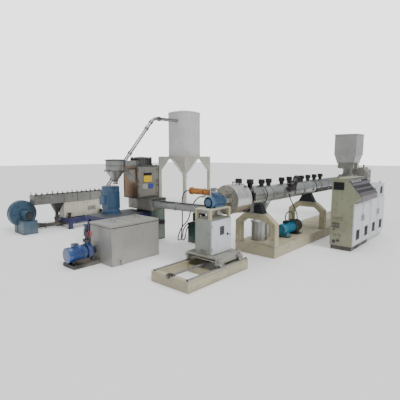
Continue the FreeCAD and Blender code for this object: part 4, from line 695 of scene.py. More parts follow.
def drive_details():
    """Gearbox ribs, lid bolts, lifting eyes and breather; guard bolts and vents; main motor details."""
    low, high = extent("gearbox")
    ribs = Piece("gearbox_ribs", machine_grey, "machine_grey")
    for sign, y in ((-1, low.y), (1, high.y)):
        for x in steps(low.x + 70, high.x - 70, 5):
            ribs.box((x - 7, x + 7), (y, y + sign * 20), (720, 1340))
        ribs.box((low.x - 3, high.x + 3), (y, y + sign * 24), (1046, 1074))
        ribs.ring(120, 60, at(5190, y, 1210), at(5190, y + sign * 26, 1210))
    ribs.ring(130, 101, at(low.x - 24, 0, AXIS), at(low.x, 0, AXIS))
    ribs.box((low.x - 6, high.x + 2), (low.y - 8, high.y + 8), (1384, 1402))
    ribs.rod(22, at(5330, -200, 1450), at(5330, -200, 1500), 20)
    ribs.rod(34, at(5330, -200, 1500), at(5330, -200, 1522), 24)
    for x in (5030, 5350):
        ribs.box((x - 12, x + 12), (70, 100), (1450, 1476))
        ribs.hoop(22, 8, at(x, 85, 1494), X, 24)
    ribs.done(2.5)
    bolts = Piece("drive_bolts", bolt_steel, "bright_steel")
    bolts.bolts(grid(steps(5000, 5380, 5), (-290, 110), (1450,)), Z, 10, 12)
    bolts.bolts(circle(X, at(low.x - 24, 0, AXIS), 116, 10), -X, 8, 10)
    bolts.bolts(grid((low.x + 40, high.x - 40), (low.y,), (740, 1340)), -Y, 11, 12)
    guard = extent("belt_guard")[1].x
    bolts.bolts(circle(X, at(guard - 7, 0, AXIS), 196, 7, -80, 180), X, 7, 5)
    bolts.done(0.8)
    vents = Piece("guard_vents", grille_paint, "black_paint")
    for z in steps(620, 900, 11):
        for side in (-1, 1):
            vents.slab(at(guard - 62, side * 215, z), X, (Y * side + Z).normalized(), (84, 8, 4))
    vents.done(0.5)
    seam = Piece("guard_seams", box_paint, "box_paint")
    seam.box((guard - 60, guard - 52), (-219, 219), (440, 1085))
    seam.lathe(at(guard - 60, 0, AXIS), X, [(214, 0), (219, 0), (219, 8), (214, 8)])
    seam.lathe(at(guard - 60, 0, 440), X, [(214, 0), (219, 0), (219, 8), (214, 8)])
    seam.done(1.0)
    motor("main_motor", motor_blue, "motor_blue", "line", at(4300, 0, 440), at(5440, 0, 440), 215, -Y, 46)


# ---- control cabinets ------------------------------------------------------------------------
def cabinet_end():
    """Louvred grille, air slots, sockets and cable holes on the console's end panel."""
    x = extent("control_cabinets")[0].x
    frame_piece = Piece("console_end_trim", console_paint, "console_paint")
    frame_piece.box((x - 5, x), (-1268, -874), (1330, 1350))
    frame_piece.box((x - 5, x), (-1268, -874), (96, 108))
    frame_piece.box((x - 8, x), (-1088, -878), (1132, 1146))
    frame_piece.box((x - 8, x), (-1088, -878), (1296, 1310))
    for row in (632, 590):
        for y in steps(-905, -1075, 6):
            frame_piece.slab(at(x - 3, y, row), Y, (-X + Z * 0.6).normalized(), (24, 12, 8))
    frame_piece.done(1.4)
    dark = Piece("console_end_dark", grille_paint, "black_paint")
    dark.box((x - 2, x), (-1082, -884), (1146, 1296))
    for z in steps(1156, 1286, 12):
        dark.slab(at(x - 4, -983, z), Y, (-X - Z * 0.8).normalized(), (196, 12, 2.4))
    for row in (622, 580):
        for y in steps(-905, -1075, 6):
            dark.slab(at(x - 2, y, row), Y, -X, (20, 10, 3))
    for y, z, radius in ((-1010, 175, 26), (-935, 152, 32)):
        dark.rod(radius, at(x + 1, y, z), at(x - 3, y, z))
    for y, z in ((-925, 300), (-965, 292), (-1005, 300), (-945, 262), (-1040, 286)):
        dark.rod(11, at(x + 1, y, z), at(x - 4, y, z), 20)
    dark.done(0.6)
    sockets = Piece("console_sockets", bolt_steel, "bright_steel")
    for y, z in ((-910, 500), (-958, 500), (-1006, 500), (-910, 440), (-958, 440), (-1006, 440), (-930, 385)):
        sockets.ring(21, 12, at(x, y, z), at(x - 14, y, z))
        sockets.rod(12, at(x, y, z), at(x - 6, y, z), 20)
    for y, z, radius in ((-1010, 175, 26), (-935, 152, 32)):
        sockets.ring(radius + 7, radius - 2, at(x, y, z), at(x - 6, y, z))
    sockets.done(0.8)


def console_face():
    """Instrument face of the console: backing, controllers, meters, lamps and knobs."""
    x_low, x_high = extent("control_cabinets")[0].x, 2297.0
    foot = at(0, -1405, 1030)
    brow = at(0, -1120, 1365)
    up = (brow - foot).normalized()
    out = X.cross(up)
    length = (brow - foot).length
    middle = (x_low + x_high) / 2

    def spot(x, share, lift=0.0):
        return at(x, 0, 0) + foot + up * length * share + out * lift

    back = Piece("console_backing", face_paint, "console_paint")
    back.slab(spot(middle, 0.5, 2), X, out, (x_high - x_low - 40, length - 34, 5))
    back.box((x_low + 20, x_high - 20), (-1404, -1396), (945, 1020))
    back.done(1.5)
    trim = Piece("console_trim", bolt_steel, "bright_steel")
    for share in (0.045, 0.965):
        trim.slab(spot(middle, share, 4), X, out, (x_high - x_low - 24, 9, 7))
    rims = Piece("console_bezels", plastic, "black_paint")
    for x in (x_low + 10, x_high - 10):
        rims.slab(spot(x, 0.5, 4), up, out, (length - 34, 14, 7))
    glass = Piece("console_windows", meter_glass, "black_paint")
    for x in steps(x_low + 90, x_high - 90, 9):
        for share in (0.30, 0.53):
            rims.slab(spot(x, share, 8), X, out, (66, 66, 12))
            glass.slab(spot(x, share + 0.025, 15), X, out, (52, 26, 3))
            for key in (-18, 0, 18):
                trim.slab(spot(x + key, share - 0.045, 15), X, out, (11, 7, 3))
        trim.rod(11, spot(x, 0.14, 4), spot(x, 0.14, 12), 20)
    for x in steps(x_low + 130, x_low + 560, 4):
        rims.slab(spot(x, 0.80, 7), X, out, (88, 78, 10))
        trim.rod(2, spot(x, 0.77, 14), spot(x + 18, 0.83, 14), 6)
    dials = Piece("console_dials", dial_white, "door_paint")
    for x in steps(x_low + 130, x_low + 560, 4):
        dials.slab(spot(x, 0.81, 12), X, out, (74, 54, 3))
    dials.done(0.6)
    knobs = Piece("console_knobs", plastic, "black_paint")
    for x in steps(x_low + 660, x_high - 90, 3):
        knobs.rod(20, spot(x, 0.80, 5), spot(x, 0.80, 12), 28)
        knobs.rod(14, spot(x, 0.80, 12), spot(x, 0.80, 30), 24, 11)
    knobs.done(1.0)
    for index, (name, material) in enumerate((("red", plate_red), ("green", plate_green))):
        lamps = Piece("console_lamps_" + name, material, "door_paint")
        for x in steps(x_low + 90, x_high - 90, 9)[index::2]:
            lamps.rod(8, spot(x, 0.14, 10), spot(x, 0.14, 20), 20, 6)
        lamps.done(0.8)
    trim.done(0.8)
    rims.done(1.6)
    glass.done(0.6)


LEAVES = (("console_left_door", "console_door_left", 1), ("console_right_door", "console_door_right", -1),
          ("rear_left_door", "rear_door_left", 1), ("rear_right_door", "rear_door_right", -1))


def louvre_field(name, body, x, y, z, rows):
    """Dark vent field with pressed slats on a face towards -Y."""
    dark = Piece(name, grille_paint, "black_paint", body)
    dark.box(x, (y - 2, y), z)
    for height in steps(z[0] + 10, z[1] - 10, rows):
        dark.slab(at(sum(x) / 2, y - 4, height), X, (-Y - Z * 0.7).normalized(), (x[1] - x[0] - 14, 12, 2.2))
    dark.done(0.5)
    trim = Piece(name + "_frame", door_paint, "door_paint", body)
    for height in z:
        trim.box((x[0] - 8, x[1] + 8), (y - 6, y), (height - 5, height + 5))
    for edge in x:
        trim.box((edge - 5, edge + 5), (y - 6, y), z)
    trim.done(1.0)


def cabinet_doors():
    """Vents, turned-in edges, handles and hinges of the four cabinet doors."""
    for body, node, free in LEAVES:
        low, high = extent(node)
        mid = (low.x + high.x) / 2
        louvre_field(body + "_vent", body, (mid - 108, mid + 108), low.y, (188, 392), 13)
        edge = Piece(body + "_edges", door_paint, "door_paint", body)
        edge.box((low.x + 16, high.x - 16), (low.y - 3, low.y), (low.z + 18, low.z + 26))
        edge.box((low.x + 16, high.x - 16), (low.y - 3, low.y), (high.z - 26, high.z - 18))
        for x in (low.x + 20, high.x - 20):
            edge.box((x - 4, x + 4), (low.y - 3, low.y), (low.z + 18, high.z - 18))
        edge.done(1.0)
        grip = high.x - 48 if free > 0 else low.x + 48
        hinge = low.x + 9 if free > 0 else high.x - 9
        metal = Piece(body + "_handle", bright_steel, "bright_steel", body)
        metal.box((grip - 15, grip + 15), (low.y - 6, low.y), (520, 660))
        metal.box((grip - 9, grip + 9), (low.y - 20, low.y - 10), (535, 640))
        metal.rod(9, at(grip, low.y - 6, 545), at(grip, low.y - 20, 545), 16)
        for z in (190, 500, 810):
            metal.rod(3, at(hinge, low.y, z - 30), at(hinge, low.y, z + 30), 16)
        metal.done(1.0)
    for x in (2530, 3060):
        louvre_field(f"rear_vent_{x}", "line", (x - 96, x + 96), -1267, (955, 1120), 10)
    trim = Piece("cabinet_trim", door_paint, "door_paint")
    trim.box((2299, 3318), (-1280, -848), (1162, 1178))
    trim.box((2294, 2300), (-1270, -852), (96, 1172))
    trim.done(2.0)
    lifting = Piece("cabinet_eyes", bolt_steel, "bright_steel")
    for x in (2380, 3230):
        for y in (-1190, -930):
            lifting.rod(14, at(x, y, 1178), at(x, y, 1188), 20)
            lifting.hoop(16, 5, at(x, y, 1206), X, 24)
    for x in (1340, 2240):
        lifting.rod(14, at(x, -940, 1365), at(x, -940, 1374), 20)
        lifting.hoop(16, 5, at(x, -940, 1392), X, 24)
    lifting.done(0.8)
    back = Piece("cabinet_back", console_paint, "console_paint")
    for x0, x1, z1 in ((1300, 2280, 1330), (2315, 2795, 1140), (2815, 3295, 1140)):
        back.box((x0, x1), (-855, -848), (100, z1))
        for z in steps(z1 - 160, z1 - 70, 6):
            back.slab(at((x0 + x1) / 2, -846, z), X, (Y + Z * 0.5).normalized(), (260, 10, 6))
    back.done(1.5)


# ---- pelletiser trolley ----------------------------------------------------------------------
def trolley_fixed():
    """Rail stops, frame welds, corner plates and screw bearings of the trolley's floor frame."""
    low, high = extent("trolley_side_rails")
    stops = Piece("rail_stops", plastic, "black_paint")
    for y in (-323, 323):
        for x in (low.x + 14, high.x - 14):
            stops.rod(23, at(x - 10, y, 160), at(x + 10, y, 160), 28)
            stops.box((x - 9, x + 9), (y - 26, y + 26), (156, 168))
    stops.done(1.4)
    welds = Piece("trolley_plates", carriage_paint, "frame_paint")
    for x in (low.x, high.x - 80):
        for side in (-1, 1):
            welds.box((x + 2, x + 78), (side * 276, side * 291), (2, 150))
    for side in (-1, 1):
        for x in steps(low.x + 200, high.x - 200, 4):
            welds.box((x - 40, x + 40), (side * 363, side * 369), (40, 52))
        welds.box((low.x + 20, high.x - 20), (side * 363, side * 367), (8, 16))
        welds.box((low.x + 20, high.x - 20), (side * 363, side * 367), (140, 148))
    for y in (-323, 323):
        for x in steps(low.x + 60, high.x - 60, 9):
            welds.box((x - 16, x + 16), (y - 24, y + 24), (159, 162))
    welds.done(1.2)
    bearing = Piece("screw_bearings", dark_steel, "dark_steel")
    for x in (low.x + 40, high.x - 40):
        bearing.box((x - 34, x + 34), (-62, 62), (160, 170))
        bearing.box((x - 26, x + 26), (-34, 34), (170, 184))
        bearing.ring(27, 17.6, at(x - 44, 0, 155), at(x - 40, 0, 155))
    bearing.ring(30, 17.4, at(low.x - 26, 0, 155), at(low.x - 6, 0, 155))
    bearing.done(1.6)
    bolts = Piece("screw_bolts", bolt_steel, "bright_steel")
    for x in (low.x + 40, high.x - 40):
        bolts.bolts(grid((x,), (-50, 50), (170,)), Z, 8, 10)
    bolts.rod(11, at(low.x - 27, 0, 155), at(low.x - 31, 0, 155), 6)
    bolts.done(0.7)
    thread = Piece("screw_thread", bright_steel, "bright_steel")
    for x in steps(low.x + 92, high.x - 92, 110):
        thread.lathe(at(x, 0, 155), X, [(16.6, -2.6), (18.2, -0.8), (18.2, 0.8), (16.6, 2.6)], 24)
    thread.done(0.2)


def wheel_details():
    """Hubs, rims and caps on the four wheels."""
    for body, node in (("front_wheels", "front_wheelset"), ("rear_wheels", "rear_wheelset")):
        low, high = extent(node)
        x = (low.x + high.x) / 2
        z = (low.z + high.z) / 2
        hub = Piece(body + "_hubs", carriage_paint, "machine_grey", body)
        cap = Piece(body + "_caps", bolt_steel, "bright_steel", body)
        for side in (-1, 1):
            face = high.y * side
            hub.ring(50, 44, at(x, face, z), at(x, face + side * 5, z))
            hub.rod(24, at(x, face, z), at(x, face + side * 8, z), 32, 21)
            cap.rod(10, at(x, face + side * 8, z), at(x, face + side * 14, z), 6)
            cap.bolts(circle(Y, at(x, face, z), 34, 5), Y * side, 5, 5)
        hub.done(1.0)
        cap.done(0.6)


def trolley_top():
    """Deck edge, cabinet trim, gland, corner bolts, motor bed and drum fittings that ride on the trolley."""
    low, high = extent("trolley_carriage")
    cab_low, cab_high = extent("trolley_cabinet")
    deck_z = cab_low.z
    deck = Piece("deck_details", carriage_paint, "machine_grey", "trolley")
    for side, lip in ((-1, 3), (1, 14)):
        deck.box((low.x + 4, high.x - 4), (side * (high.y - 6), side * high.y), (deck_z, deck_z + lip))
    deck.box((cab_low.x - 22, cab_high.x + 22), (cab_low.y + 8, cab_high.y + 18), (deck_z, deck_z + 8))
    for x, way in ((cab_low.x, -1), (cab_high.x, 1)):
        deck.slab(at(x, 0, deck_z + 46), X, (Z + X * way).normalized(), (5, 190, 60))
    deck.done(1.4)
    bolts = Piece("deck_bolts", bolt_steel, "bright_steel", "trolley")
    bolts.bolts(grid((low.x + 26, high.x - 26), (-230, -80, 80, 230), (deck_z,)), Z, 9, 10)
    for x in (-1460, -985):
        for side in (-1, 1):
            bolts.bolts([at(x + dx, side * high.y, deck_z - 45) for dx in (-34, 34)], Y * side, 7, 3)
    bolts.bolts(grid(steps(cab_low.x + 60, cab_high.x - 60, 2), (-90, 90), (STAND_Z,)), Z, 8, 9)
    bolts.done(0.7)
    trim = Piece("trolley_cabinet_trim", cabinet_paint, "cabinet_paint", "trolley")
    trim.box((cab_low.x - 3, cab_high.x + 3), (cab_low.y, cab_high.y + 3), (cab_high.z - 16, cab_high.z + 3))
    trim.box((cab_low.x - 2.5, cab_low.x), (cab_low.y + 12, cab_high.y - 12), (deck_z + 30, deck_z + 36))
    for y in (cab_low.y + 12, cab_high.y - 18):
        trim.box((cab_low.x - 2.5, cab_low.x), (y, y + 6), (deck_z + 30, cab_high.z - 30))
        trim.box((cab_high.x, cab_high.x + 2.5), (y, y + 6), (deck_z + 30, cab_high.z - 30))
    for z in steps(deck_z + 90, deck_z + 160, 5):
        trim.slab(at(cab_high.x + 2, 20, z), Y, (X + Z * 0.6).normalized(), (150, 9, 6))
    trim.box((cab_low.x + 14, cab_high.x - 14), (cab_high.y, cab_high.y + 3), (deck_z + 24, cab_high.z - 28))
    trim.done(1.2)
    bed = Piece("motor_bed", stand_top, "frame_paint", "trolley")
    bed.box((cab_low.x - 6, cab_high.x + 6), (cab_low.y - 4, cab_high.y + 4), (STAND_Z, STAND_Z + 5))
    for y in (-96, 96):
        bed.box((-1300, -1040), (y - 12, y + 12), (STAND_Z + 5, STAND_Z + 12))
    bed.done(1.2)
    drum = Piece("drum_rings", drum_steel, "sheet_steel", "trolley")
    drum.ring(241, 233, at(-904, 0, AXIS), at(-880, 0, AXIS))
    drum.ring(239, 233, at(-740, 0, AXIS), at(-722, 0, AXIS))
    drum.ring(252, 232, at(-566, 0, AXIS), at(-556, 0, AXIS))
    drum.ring(150, 118, at(-922, 0, AXIS), at(-909, 0, AXIS))
    drum.box((-905, -545), (-3, 3), (AXIS + 232, AXIS + 244))
    drum.done(1.4)
    clamp = Piece("drum_clamps", bolt_steel, "bright_steel", "trolley")
    for angle in (35, 145, 215, 325):
        (point, ray), = spin(X, at(-575, 0, AXIS), 246, 1, angle)
        clamp.slab(point, X, ray, (74, 26, 12))
        clamp.slab(point + ray * 11 - X * 16, X, ray, (44, 12, 12))
        clamp.rod(5, point + ray * 12 - X * 34, point + ray * 26 - X * 66, 12)
    clamp.bolts(circle(X, at(-909, 0, AXIS), 210, 12, 15), -X, 7, 8)
    clamp.bolts(circle(X, at(-923, 0, AXIS), 134, 8), -X, 8, 9)
    clamp.done(0.8)
    window = Piece("drum_window", meter_glass, "black_paint", "trolley")
    (point, _), = spin(X, at(-909, 0, AXIS), 178, 1, 300)
    window.rod(24, point, point - X * 5, 32)
    window.done(0.6)
    handle = Piece("drum_handle", plastic, "black_paint", "trolley")
    for dy in (-70, 70):
        handle.rod(7, at(-650, dy, AXIS + 224), at(-650, dy, AXIS + 268), 14)
    handle.rod(9, at(-650, -78, AXIS + 268), at(-650, 78, AXIS + 268), 18)
    handle.done(0.8)
    motor("cutter_motor", motor_blue, "motor_blue", "trolley",
          at(-1365, 0, AXIS), at(-1015, 0, AXIS), 84, Z, 26)


def trolley_door_details():
    """Meter, knob, hinges, lock and rim on the trolley cabinet's door."""
    body = "trolley_cabinet_door"
    low, high = extent("trolley_door")
    mid = (low.x + high.x) / 2
    top = high.z
    meter = Piece("door_meter", plastic, "black_paint", body)
    meter.box((mid - 38, mid + 56), (low.y - 9, low.y), (top - 235, top - 105))
    meter.box((mid + 128, mid + 160), (low.y - 6, low.y), (top - 262, top - 226))
    meter.rod(13, at(mid + 144, low.y - 6, top - 244), at(mid + 144, low.y - 26, top - 244), 24, 10)
    meter.done(1.8)
    panes = Piece("door_meter_windows", meter_glass, "black_paint", body)
    for column in (-14, 32):
        for row in (-130, -170, -210):
            x, z = mid + column, top + row
            panes.box((x - 15, x + 15), (low.y - 11, low.y - 8), (z - 12, z + 12))
    panes.done(1.0)
    rim = Piece("door_rim", door_paint, "door_paint", body)
    for x in (low.x + 10, high.x - 10):
        rim.box((x - 3, x + 3), (low.y - 3, low.y), (low.z + 10, high.z - 10))
    for z in (low.z + 10, high.z - 10):
        rim.box((low.x + 10, high.x - 10), (low.y - 3, low.y), (z - 3, z + 3))
    rim.done(1.0)
    metal = Piece("door_hinges", bolt_steel, "bright_steel", body)
    for z in (low.z + 80, high.z - 80):
        metal.rod(6, at(low.x + 6, low.y - 4, z - 26), at(low.x + 6, low.y - 4, z + 26), 16)
    metal.ring(12, 5, at(high.x - 28, low.y, low.z + 250), at(high.x - 28, low.y - 7, low.z + 250))
    metal.rod(6, at(high.x - 28, low.y, low.z + 250), at(high.x - 28, low.y - 10, low.z + 250), 6)
    metal.done(0.8)


# ---- trough, tank and pump -------------------------------------------------------------------
def trough_details():
    """Rolled rims, joint flanges and cross ties of the trough, following its fall."""
    low, high = extent("discharge_trough")
    fall = 30.0 / (high.y - low.y)
    rims = Piece("trough_rims", trough_steel, "sheet_steel")
    for side in (-1, 1):
        x = -765 + side * 100
        rims.rod(9, at(x, low.y, high.z), at(x, high.y - 4, high.z - 30), 16)
    rims.rod(9, at(-865, low.y, high.z), at(-665, low.y, high.z), 16)
    for y in (720, 1240, 1760):
        drop = (y - low.y) * fall
        for side in (-1, 1):
            x = -765 + side * 103
            rims.box((x - 6, x + 6), (y - 18, y + 18), (high.z - 112 - drop, high.z - 2 - drop))
        rims.box((-870, -660), (y - 18, y + 18), (high.z - 118 - drop, high.z - 108 - drop))
        rims.box((-866, -664), (y - 10, y + 10), (high.z + 2 - drop, high.z + 8 - drop))
    rims.done(1.4)
    post = Piece("trough_post_fittings", carriage_paint, "frame_paint")
    post.box((-825, -705), (360, 480), (0, 10))
    post.box((-835, -695), (395, 445), (786, 800))
    post.done(1.2)
    bolts = Piece("trough_bolts", bolt_steel, "bright_steel")
    bolts.bolts(grid((-808, -722), (377, 463), (10,)), Z, 8, 12)
    bolts.done(0.6)


def tank_details():
    """Folded lid edges, corner seams, stiffener, handles, drain and the pump's small parts."""
    low, high = extent("water_tank")
    x_high = -1217.0
    pump_y, pump_z, rise_x = 1810, 205, -2352
    lid = Piece("tank_lid_edges", tank_steel, "sheet_steel")
    for y in (low.y - 8, high.y + 8):
        lid.box((low.x - 8, x_high + 8), (y - 2, y + 2), (638, 674))
    for x in (low.x - 8, x_high + 8):
        lid.box((x - 2, x + 2), (low.y - 8, high.y + 8), (638, 674))
    mid = (low.x + x_high) / 2
    lid.box((mid - 5, mid + 5), (low.y - 4, high.y + 4), (673, 679))
    for x in (low.x, x_high):
        for y in (low.y, high.y):
            lid.box((x - 3, x + 3), (y - 3, y + 3), (2, 640))
    lid.box((low.x - 1, x_high + 1), (low.y - 2, low.y), (326, 332))
    lid.box((low.x - 3, x_high + 3), (low.y - 3, high.y + 3), (0, 22))
    lid.done(1.0)
    # Painted shadow: a dark strip standing 3 mm proud just under the lid, in place of the shadow line below
    # the lid's overhang.
    painted_shadow_strip = Piece("tank_lid_painted_shadow", rubber_and_painted_shadow, "black_paint")
    painted_shadow_strip.box((low.x - 3, x_high + 3), (low.y - 3, high.y + 3), (626, 638))
    painted_shadow_strip.done(1.0)
    grips = Piece("tank_handles", bright_steel, "bright_steel")
    for x in (mid - 260, mid + 260):
        for y in (1540, 1680):
            grips.rod(6, at(x, y, 672), at(x, y, 708), 12)
        grips.rod(7, at(x, 1534, 708), at(x, 1686, 708), 16)
    grips.rod(20, at(mid - 330, low.y, 70), at(mid - 330, low.y - 46, 70), 20)
    grips.rod(28, at(mid - 330, low.y - 46, 70), at(mid - 330, low.y - 60, 70), 6)
    grips.ring(62, 42, at(x_high, low.y + 62, 585), at(x_high + 8, low.y + 62, 585))
    grips.done(1.0)
    elbow = Piece("tank_elbow", pipe_black, "black_paint")
    for y in (low.y + 6, low.y + 150):
        elbow.ring(48, 36, at(x_high + 130, y, 585), at(x_high + 130, y + 14, 585))
    elbow.ring(48, 40, at(x_high + 78, low.y + 62, 585), at(x_high + 90, low.y + 62, 585))
    elbow.done(1.0)
    motor("water_pump", pump_blue, "pump_blue", "line",
          at(-2722, pump_y, pump_z), at(-2422, pump_y, pump_z), 118, Z, 34)
    iron = Piece("pump_iron", pump_iron, "machine_grey")
    iron.ring(140, 112, at(-2392, pump_y, pump_z), at(-2376, pump_y, pump_z))
    iron.ring(140, 60, at(-2316, pump_y, pump_z), at(-2306, pump_y, pump_z))
    iron.ring(66, 38, at(-2290, pump_y, pump_z), at(-2276, pump_y, pump_z))
    iron.ring(66, 38, at(-2228, pump_y, pump_z), at(-2212, pump_y, pump_z))
    for z in (649, 566, 478):
        iron.ring(52, 30, at(rise_x, pump_y, z), at(rise_x, pump_y, z + 10))
    iron.rod(14, at(rise_x, 1762, 515), at(rise_x, 1716, 515), 18)
    iron.done(1.4)
    wheel = Piece("valve_wheel", plate_red, "black_paint")
    wheel.hoop(44, 6, at(rise_x, 1708, 515), Y, 36)
    for point, ray in spin(Y, at(rise_x, 1708, 515), 22, 4):
        wheel.slab(point, ray, Y, (44, 9, 6))
    wheel.rod(12, at(rise_x, 1716, 515), at(rise_x, 1700, 515), 16)
    wheel.done(0.8)
    bolts = Piece("pump_bolts", bolt_steel, "bright_steel")
    bolts.bolts(circle(X, at(-2306, pump_y, pump_z), 126, 8, 22), X, 7, 9)
    bolts.bolts(circle(Z, at(rise_x, pump_y, 411), 54, 6), Z, 6, 8)
    bolts.bolts(grid((-2640, -2420), (1650, 1970), (55,)), Z, 10, 14)
    bolts.done(0.7)


# ---- dewatering unit -------------------------------------------------------------------------
def platform_details():
    """Channel flanges, tread bars, foot plates and framed panels of the platform and its boxes."""
    low, high = extent("dewatering_platform")
    edge = Piece("platform_edges", navy_paint, "navy_paint")
    for z in (572, 632):
        for y in (low.y - 5, high.y - 1):
            edge.box((low.x - 6, high.x), (y, y + 6), (z - 6, z + 6))
        edge.box((low.x - 6, low.x), (low.y, high.y), (z - 6, z + 6))
    for x in (low.x + 35, high.x - 35):
        for y in (low.y + 35, high.y - 35):
            edge.box((x - 45, x + 45), (y - 45, y + 45), (0, 10))
    edge.done(1.4)
    tread = Piece("platform_tread", tread_steel, "machine_grey")
    for count, x in enumerate(steps(low.x + 30, high.x - 40, 30)):
        for y in steps(low.y + 20 + 18 * (count % 2), high.y - 38 + 18 * (count % 2), 14):
            tread.slab(at(x, y, 641), (X + Y * (1 if count % 2 else -1)).normalized(), Z, (24, 7, 3))
    tread.done(0.6)
    panels = Piece("base_panels", panel_paint, "cabinet_paint")
    frames = Piece("base_frames", black_paint, "black_paint")
    for x0, x1, y, z1 in ((-1690, -1240, 2180, 560), (-1240, -790, 2180, 560), (-690, -285, 2152, 706)):
        panels.box((x0 + 26, x1 - 26), (y - 5, y), (36, z1 - 32))
        for x in (x0, x1 - 14):
            frames.box((x, x + 14), (y - 10, y), (4, z1))
        for z in (4, z1 - 14):
            frames.box((x0, x1), (y - 10, y), (z, z + 14))
    for x, y0, y1, z1 in ((-1700, 2180, 2680, 560), (-285, 2152, 2590, 706)):
        way = 1 if x > -1000 else -1
        panels.box((x, x + way * 5), (y0 + 26, y1 - 26), (36, z1 - 32))
        for y in (y0, y1 - 14):
            frames.box((x, x + way * 10), (y, y + 14), (4, z1))
        for z in (4, z1 - 14):
            frames.box((x, x + way * 10), (y0, y1), (z, z + 14))
    panels.done(1.2)
    frames.done(1.2)
    bolts = Piece("base_panel_bolts", bolt_steel, "bright_steel")
    for x0, x1, y, z1 in ((-1690, -1240, 2175, 560), (-1240, -790, 2175, 560), (-690, -285, 2147, 706)):
        bolts.bolts(grid((x0 + 44, x1 - 44), (y,), (56, z1 / 2, z1 - 54)), -Y, 6, 5)
    bolts.bolts(grid((-280,), (2192, 2550), (60, 650)), X, 6, 5)
    bolts.done(0.5)


def housing_details():
    """Corner angles, door, handles, blank plates, hood seams, ribbed rotor cap of the centrifuge."""
    low, high = at(-1000, 2152, 936), at(-434, 2590, 1585)
    corner = Piece("housing_frame", housing_frame, "sheet_steel")
    for x in (low.x, high.x):
        for y in (low.y, high.y):
            corner.box((x - 7, x + 7), (y - 7, y + 7), (low.z, high.z))
    for z in (low.z + 6, high.z - 8):
        corner.box((low.x - 7, high.x + 7), (low.y - 7, low.y), (z - 12, z + 12))
        corner.box((low.x - 7, high.x + 7), (high.y, high.y + 7), (z - 12, z + 12))
        corner.box((low.x - 7, low.x), (low.y, high.y), (z - 12, z + 12))
        corner.box((high.x, high.x + 7), (low.y, high.y), (z - 12, z + 12))
    corner.box((-905, -515), (1843, 1850), (900, 940))
    corner.box((-905, -515), (1850, 2160), (934, 942))
    corner.box((-1197, -1000), (2185, 2192), (1516, 1530))
    corner.box((-1197, -1000), (2382, 2389), (1516, 1530))
    corner.done(1.4)
    door = Piece("housing_door", housing_steel, "sheet_steel")
    door.box((-972, -462), (2140, 2152), (966, 1226))
    door.box((-972, -462), (2143, 2152), (1246, 1554))
    door.box((-985, -966), (2552, 2562), (1000, 1500))
    door.done(2.2)
    fit = Piece("housing_fittings", bolt_steel, "bright_steel")
    for z in (1010, 1180, 1290, 1510):
        fit.rod(8, at(-978, 2138, z - 24), at(-978, 2138, z + 24), 16)
        fit.rod(9, at(-476, 2140, z), at(-476, 2124, z), 16)
        fit.slab(at(-494, 2122, z), X, -Y, (54, 14, 8))
    fit.bolts(grid(steps(-955, -480, 6), (2140,), (978, 1214)), -Y, 5, 5)
    fit.bolts(grid((-1000,), steps(2180, 2560, 5), (960, 1560)), -X, 6, 6)
    fit.done(0.7)
    for name, material, x, z in (("yellow", plate_yellow, (-842, -640), (1256, 1384)),
                                 ("white", dial_white, (-880, -756), (1120, 1222)),
                                 ("blue", plate_blue, (-728, -604), (1120, 1222))):
        plate = Piece("housing_plate_" + name, material, "door_paint")
        plate.box(x, (2134, 2141), z)
        for edge in (x[0] + 7, x[1] - 7):
            for height in (z[0] + 7, z[1] - 7):
                plate.rod(3, at(edge, 2134, height), at(edge, 2131, height), 10)
        plate.done(0.8)
    dark = Piece("housing_switch", plastic, "black_paint")
    dark.box((-842, -640), (2132, 2141), (1392, 1440))
    for x in (-800, -742, -684):
        dark.rod(12, at(x, 2132, 1416), at(x, 2120, 1416), 20)
    dark.done(1.2)
    cap = Piece("rotor_cap_ribs", rotor_steel, "sheet_steel")
    centre = at(-717, 2371, 1585)
    for point, ray in spin(Z, centre + Z * 76, 208, 28):
        cap.slab(point, Z, ray, (146, 8, 26))
    cap.ring(224, 198, centre, centre + Z * 12)
    cap.ring(222, 150, centre + Z * 140, centre + Z * 156)
    cap.lathe(centre + Z * 150, Z, [(2, 0), (150, 0), (140, 14), (60, 26), (2, 28)])
    cap.done(1.0)
    bolts = Piece("rotor_cap_bolts", bolt_steel, "bright_steel")
    bolts.bolts(circle(Z, centre + Z * 156, 206, 16), Z, 8, 22)
    bolts.bolts(grid((-960, -474), steps(2180, 2560, 4), (1585,)), Z, 8, 24)
    bolts.done(0.7)


def bowl_details():
    """Rims, bands, clamp lugs and duct seams of the air separator bowl."""
    centre = at(-1410, 2300, 0)
    band = Piece("bowl_bands", rotor_steel, "sheet_steel")
    band.ring(185, 168, centre + Z * 1693, centre + Z * 1709)
    band.ring(186, 170, centre + Z * 1496, centre + Z * 1508)
    band.ring(180, 174, centre + Z * 1596, centre + Z * 1604)
    band.ring(58, 40, centre + Z * 1300, centre + Z * 1312)
    band.ring(56, 40, centre + Z * 1246, centre + Z * 1256)
    band.hoop(150, 5, centre + Z * 1712, Z)
    band.hoop(100, 5, centre + Z * 1714, Z)
    band.hoop(48, 5, centre + Z * 1716, Z)
    for point, ray in spin(Z, centre + Z * 1712, 90, 12):
        band.slab(point, ray, Z, (160, 5, 5))
    for x in (-1225, -930):
        band.box((x - 8, x + 8), (2232, 2368), (1578, 1698))
    band.done(1.0)
    lugs = Piece("bowl_lugs", bolt_steel, "bright_steel")
    for point, ray in spin(Z, centre + Z * 1502, 190, 6, 20):
        lugs.slab(point, Z, ray, (40, 18, 14))
        lugs.rod(4, point + ray * 8 - Z * 26, point + ray * 8 + Z * 26, 10)
    lugs.bolts(circle(Z, centre + Z * 1709, 178, 12), Z, 5, 6)
    lugs.done(0.7)
    motor("upright_motor", motor_blue, "motor_blue", "line",
          at(-1353, 2560, 1186), at(-1353, 2560, 670), 165, -X, 40)
    foot = Piece("upright_motor_foot", bolt_steel, "bright_steel")
    foot.bolts(circle(Z, at(-1353, 2560, 670), 184, 8, 22), Z, 9, 12)
    foot.done(0.7)


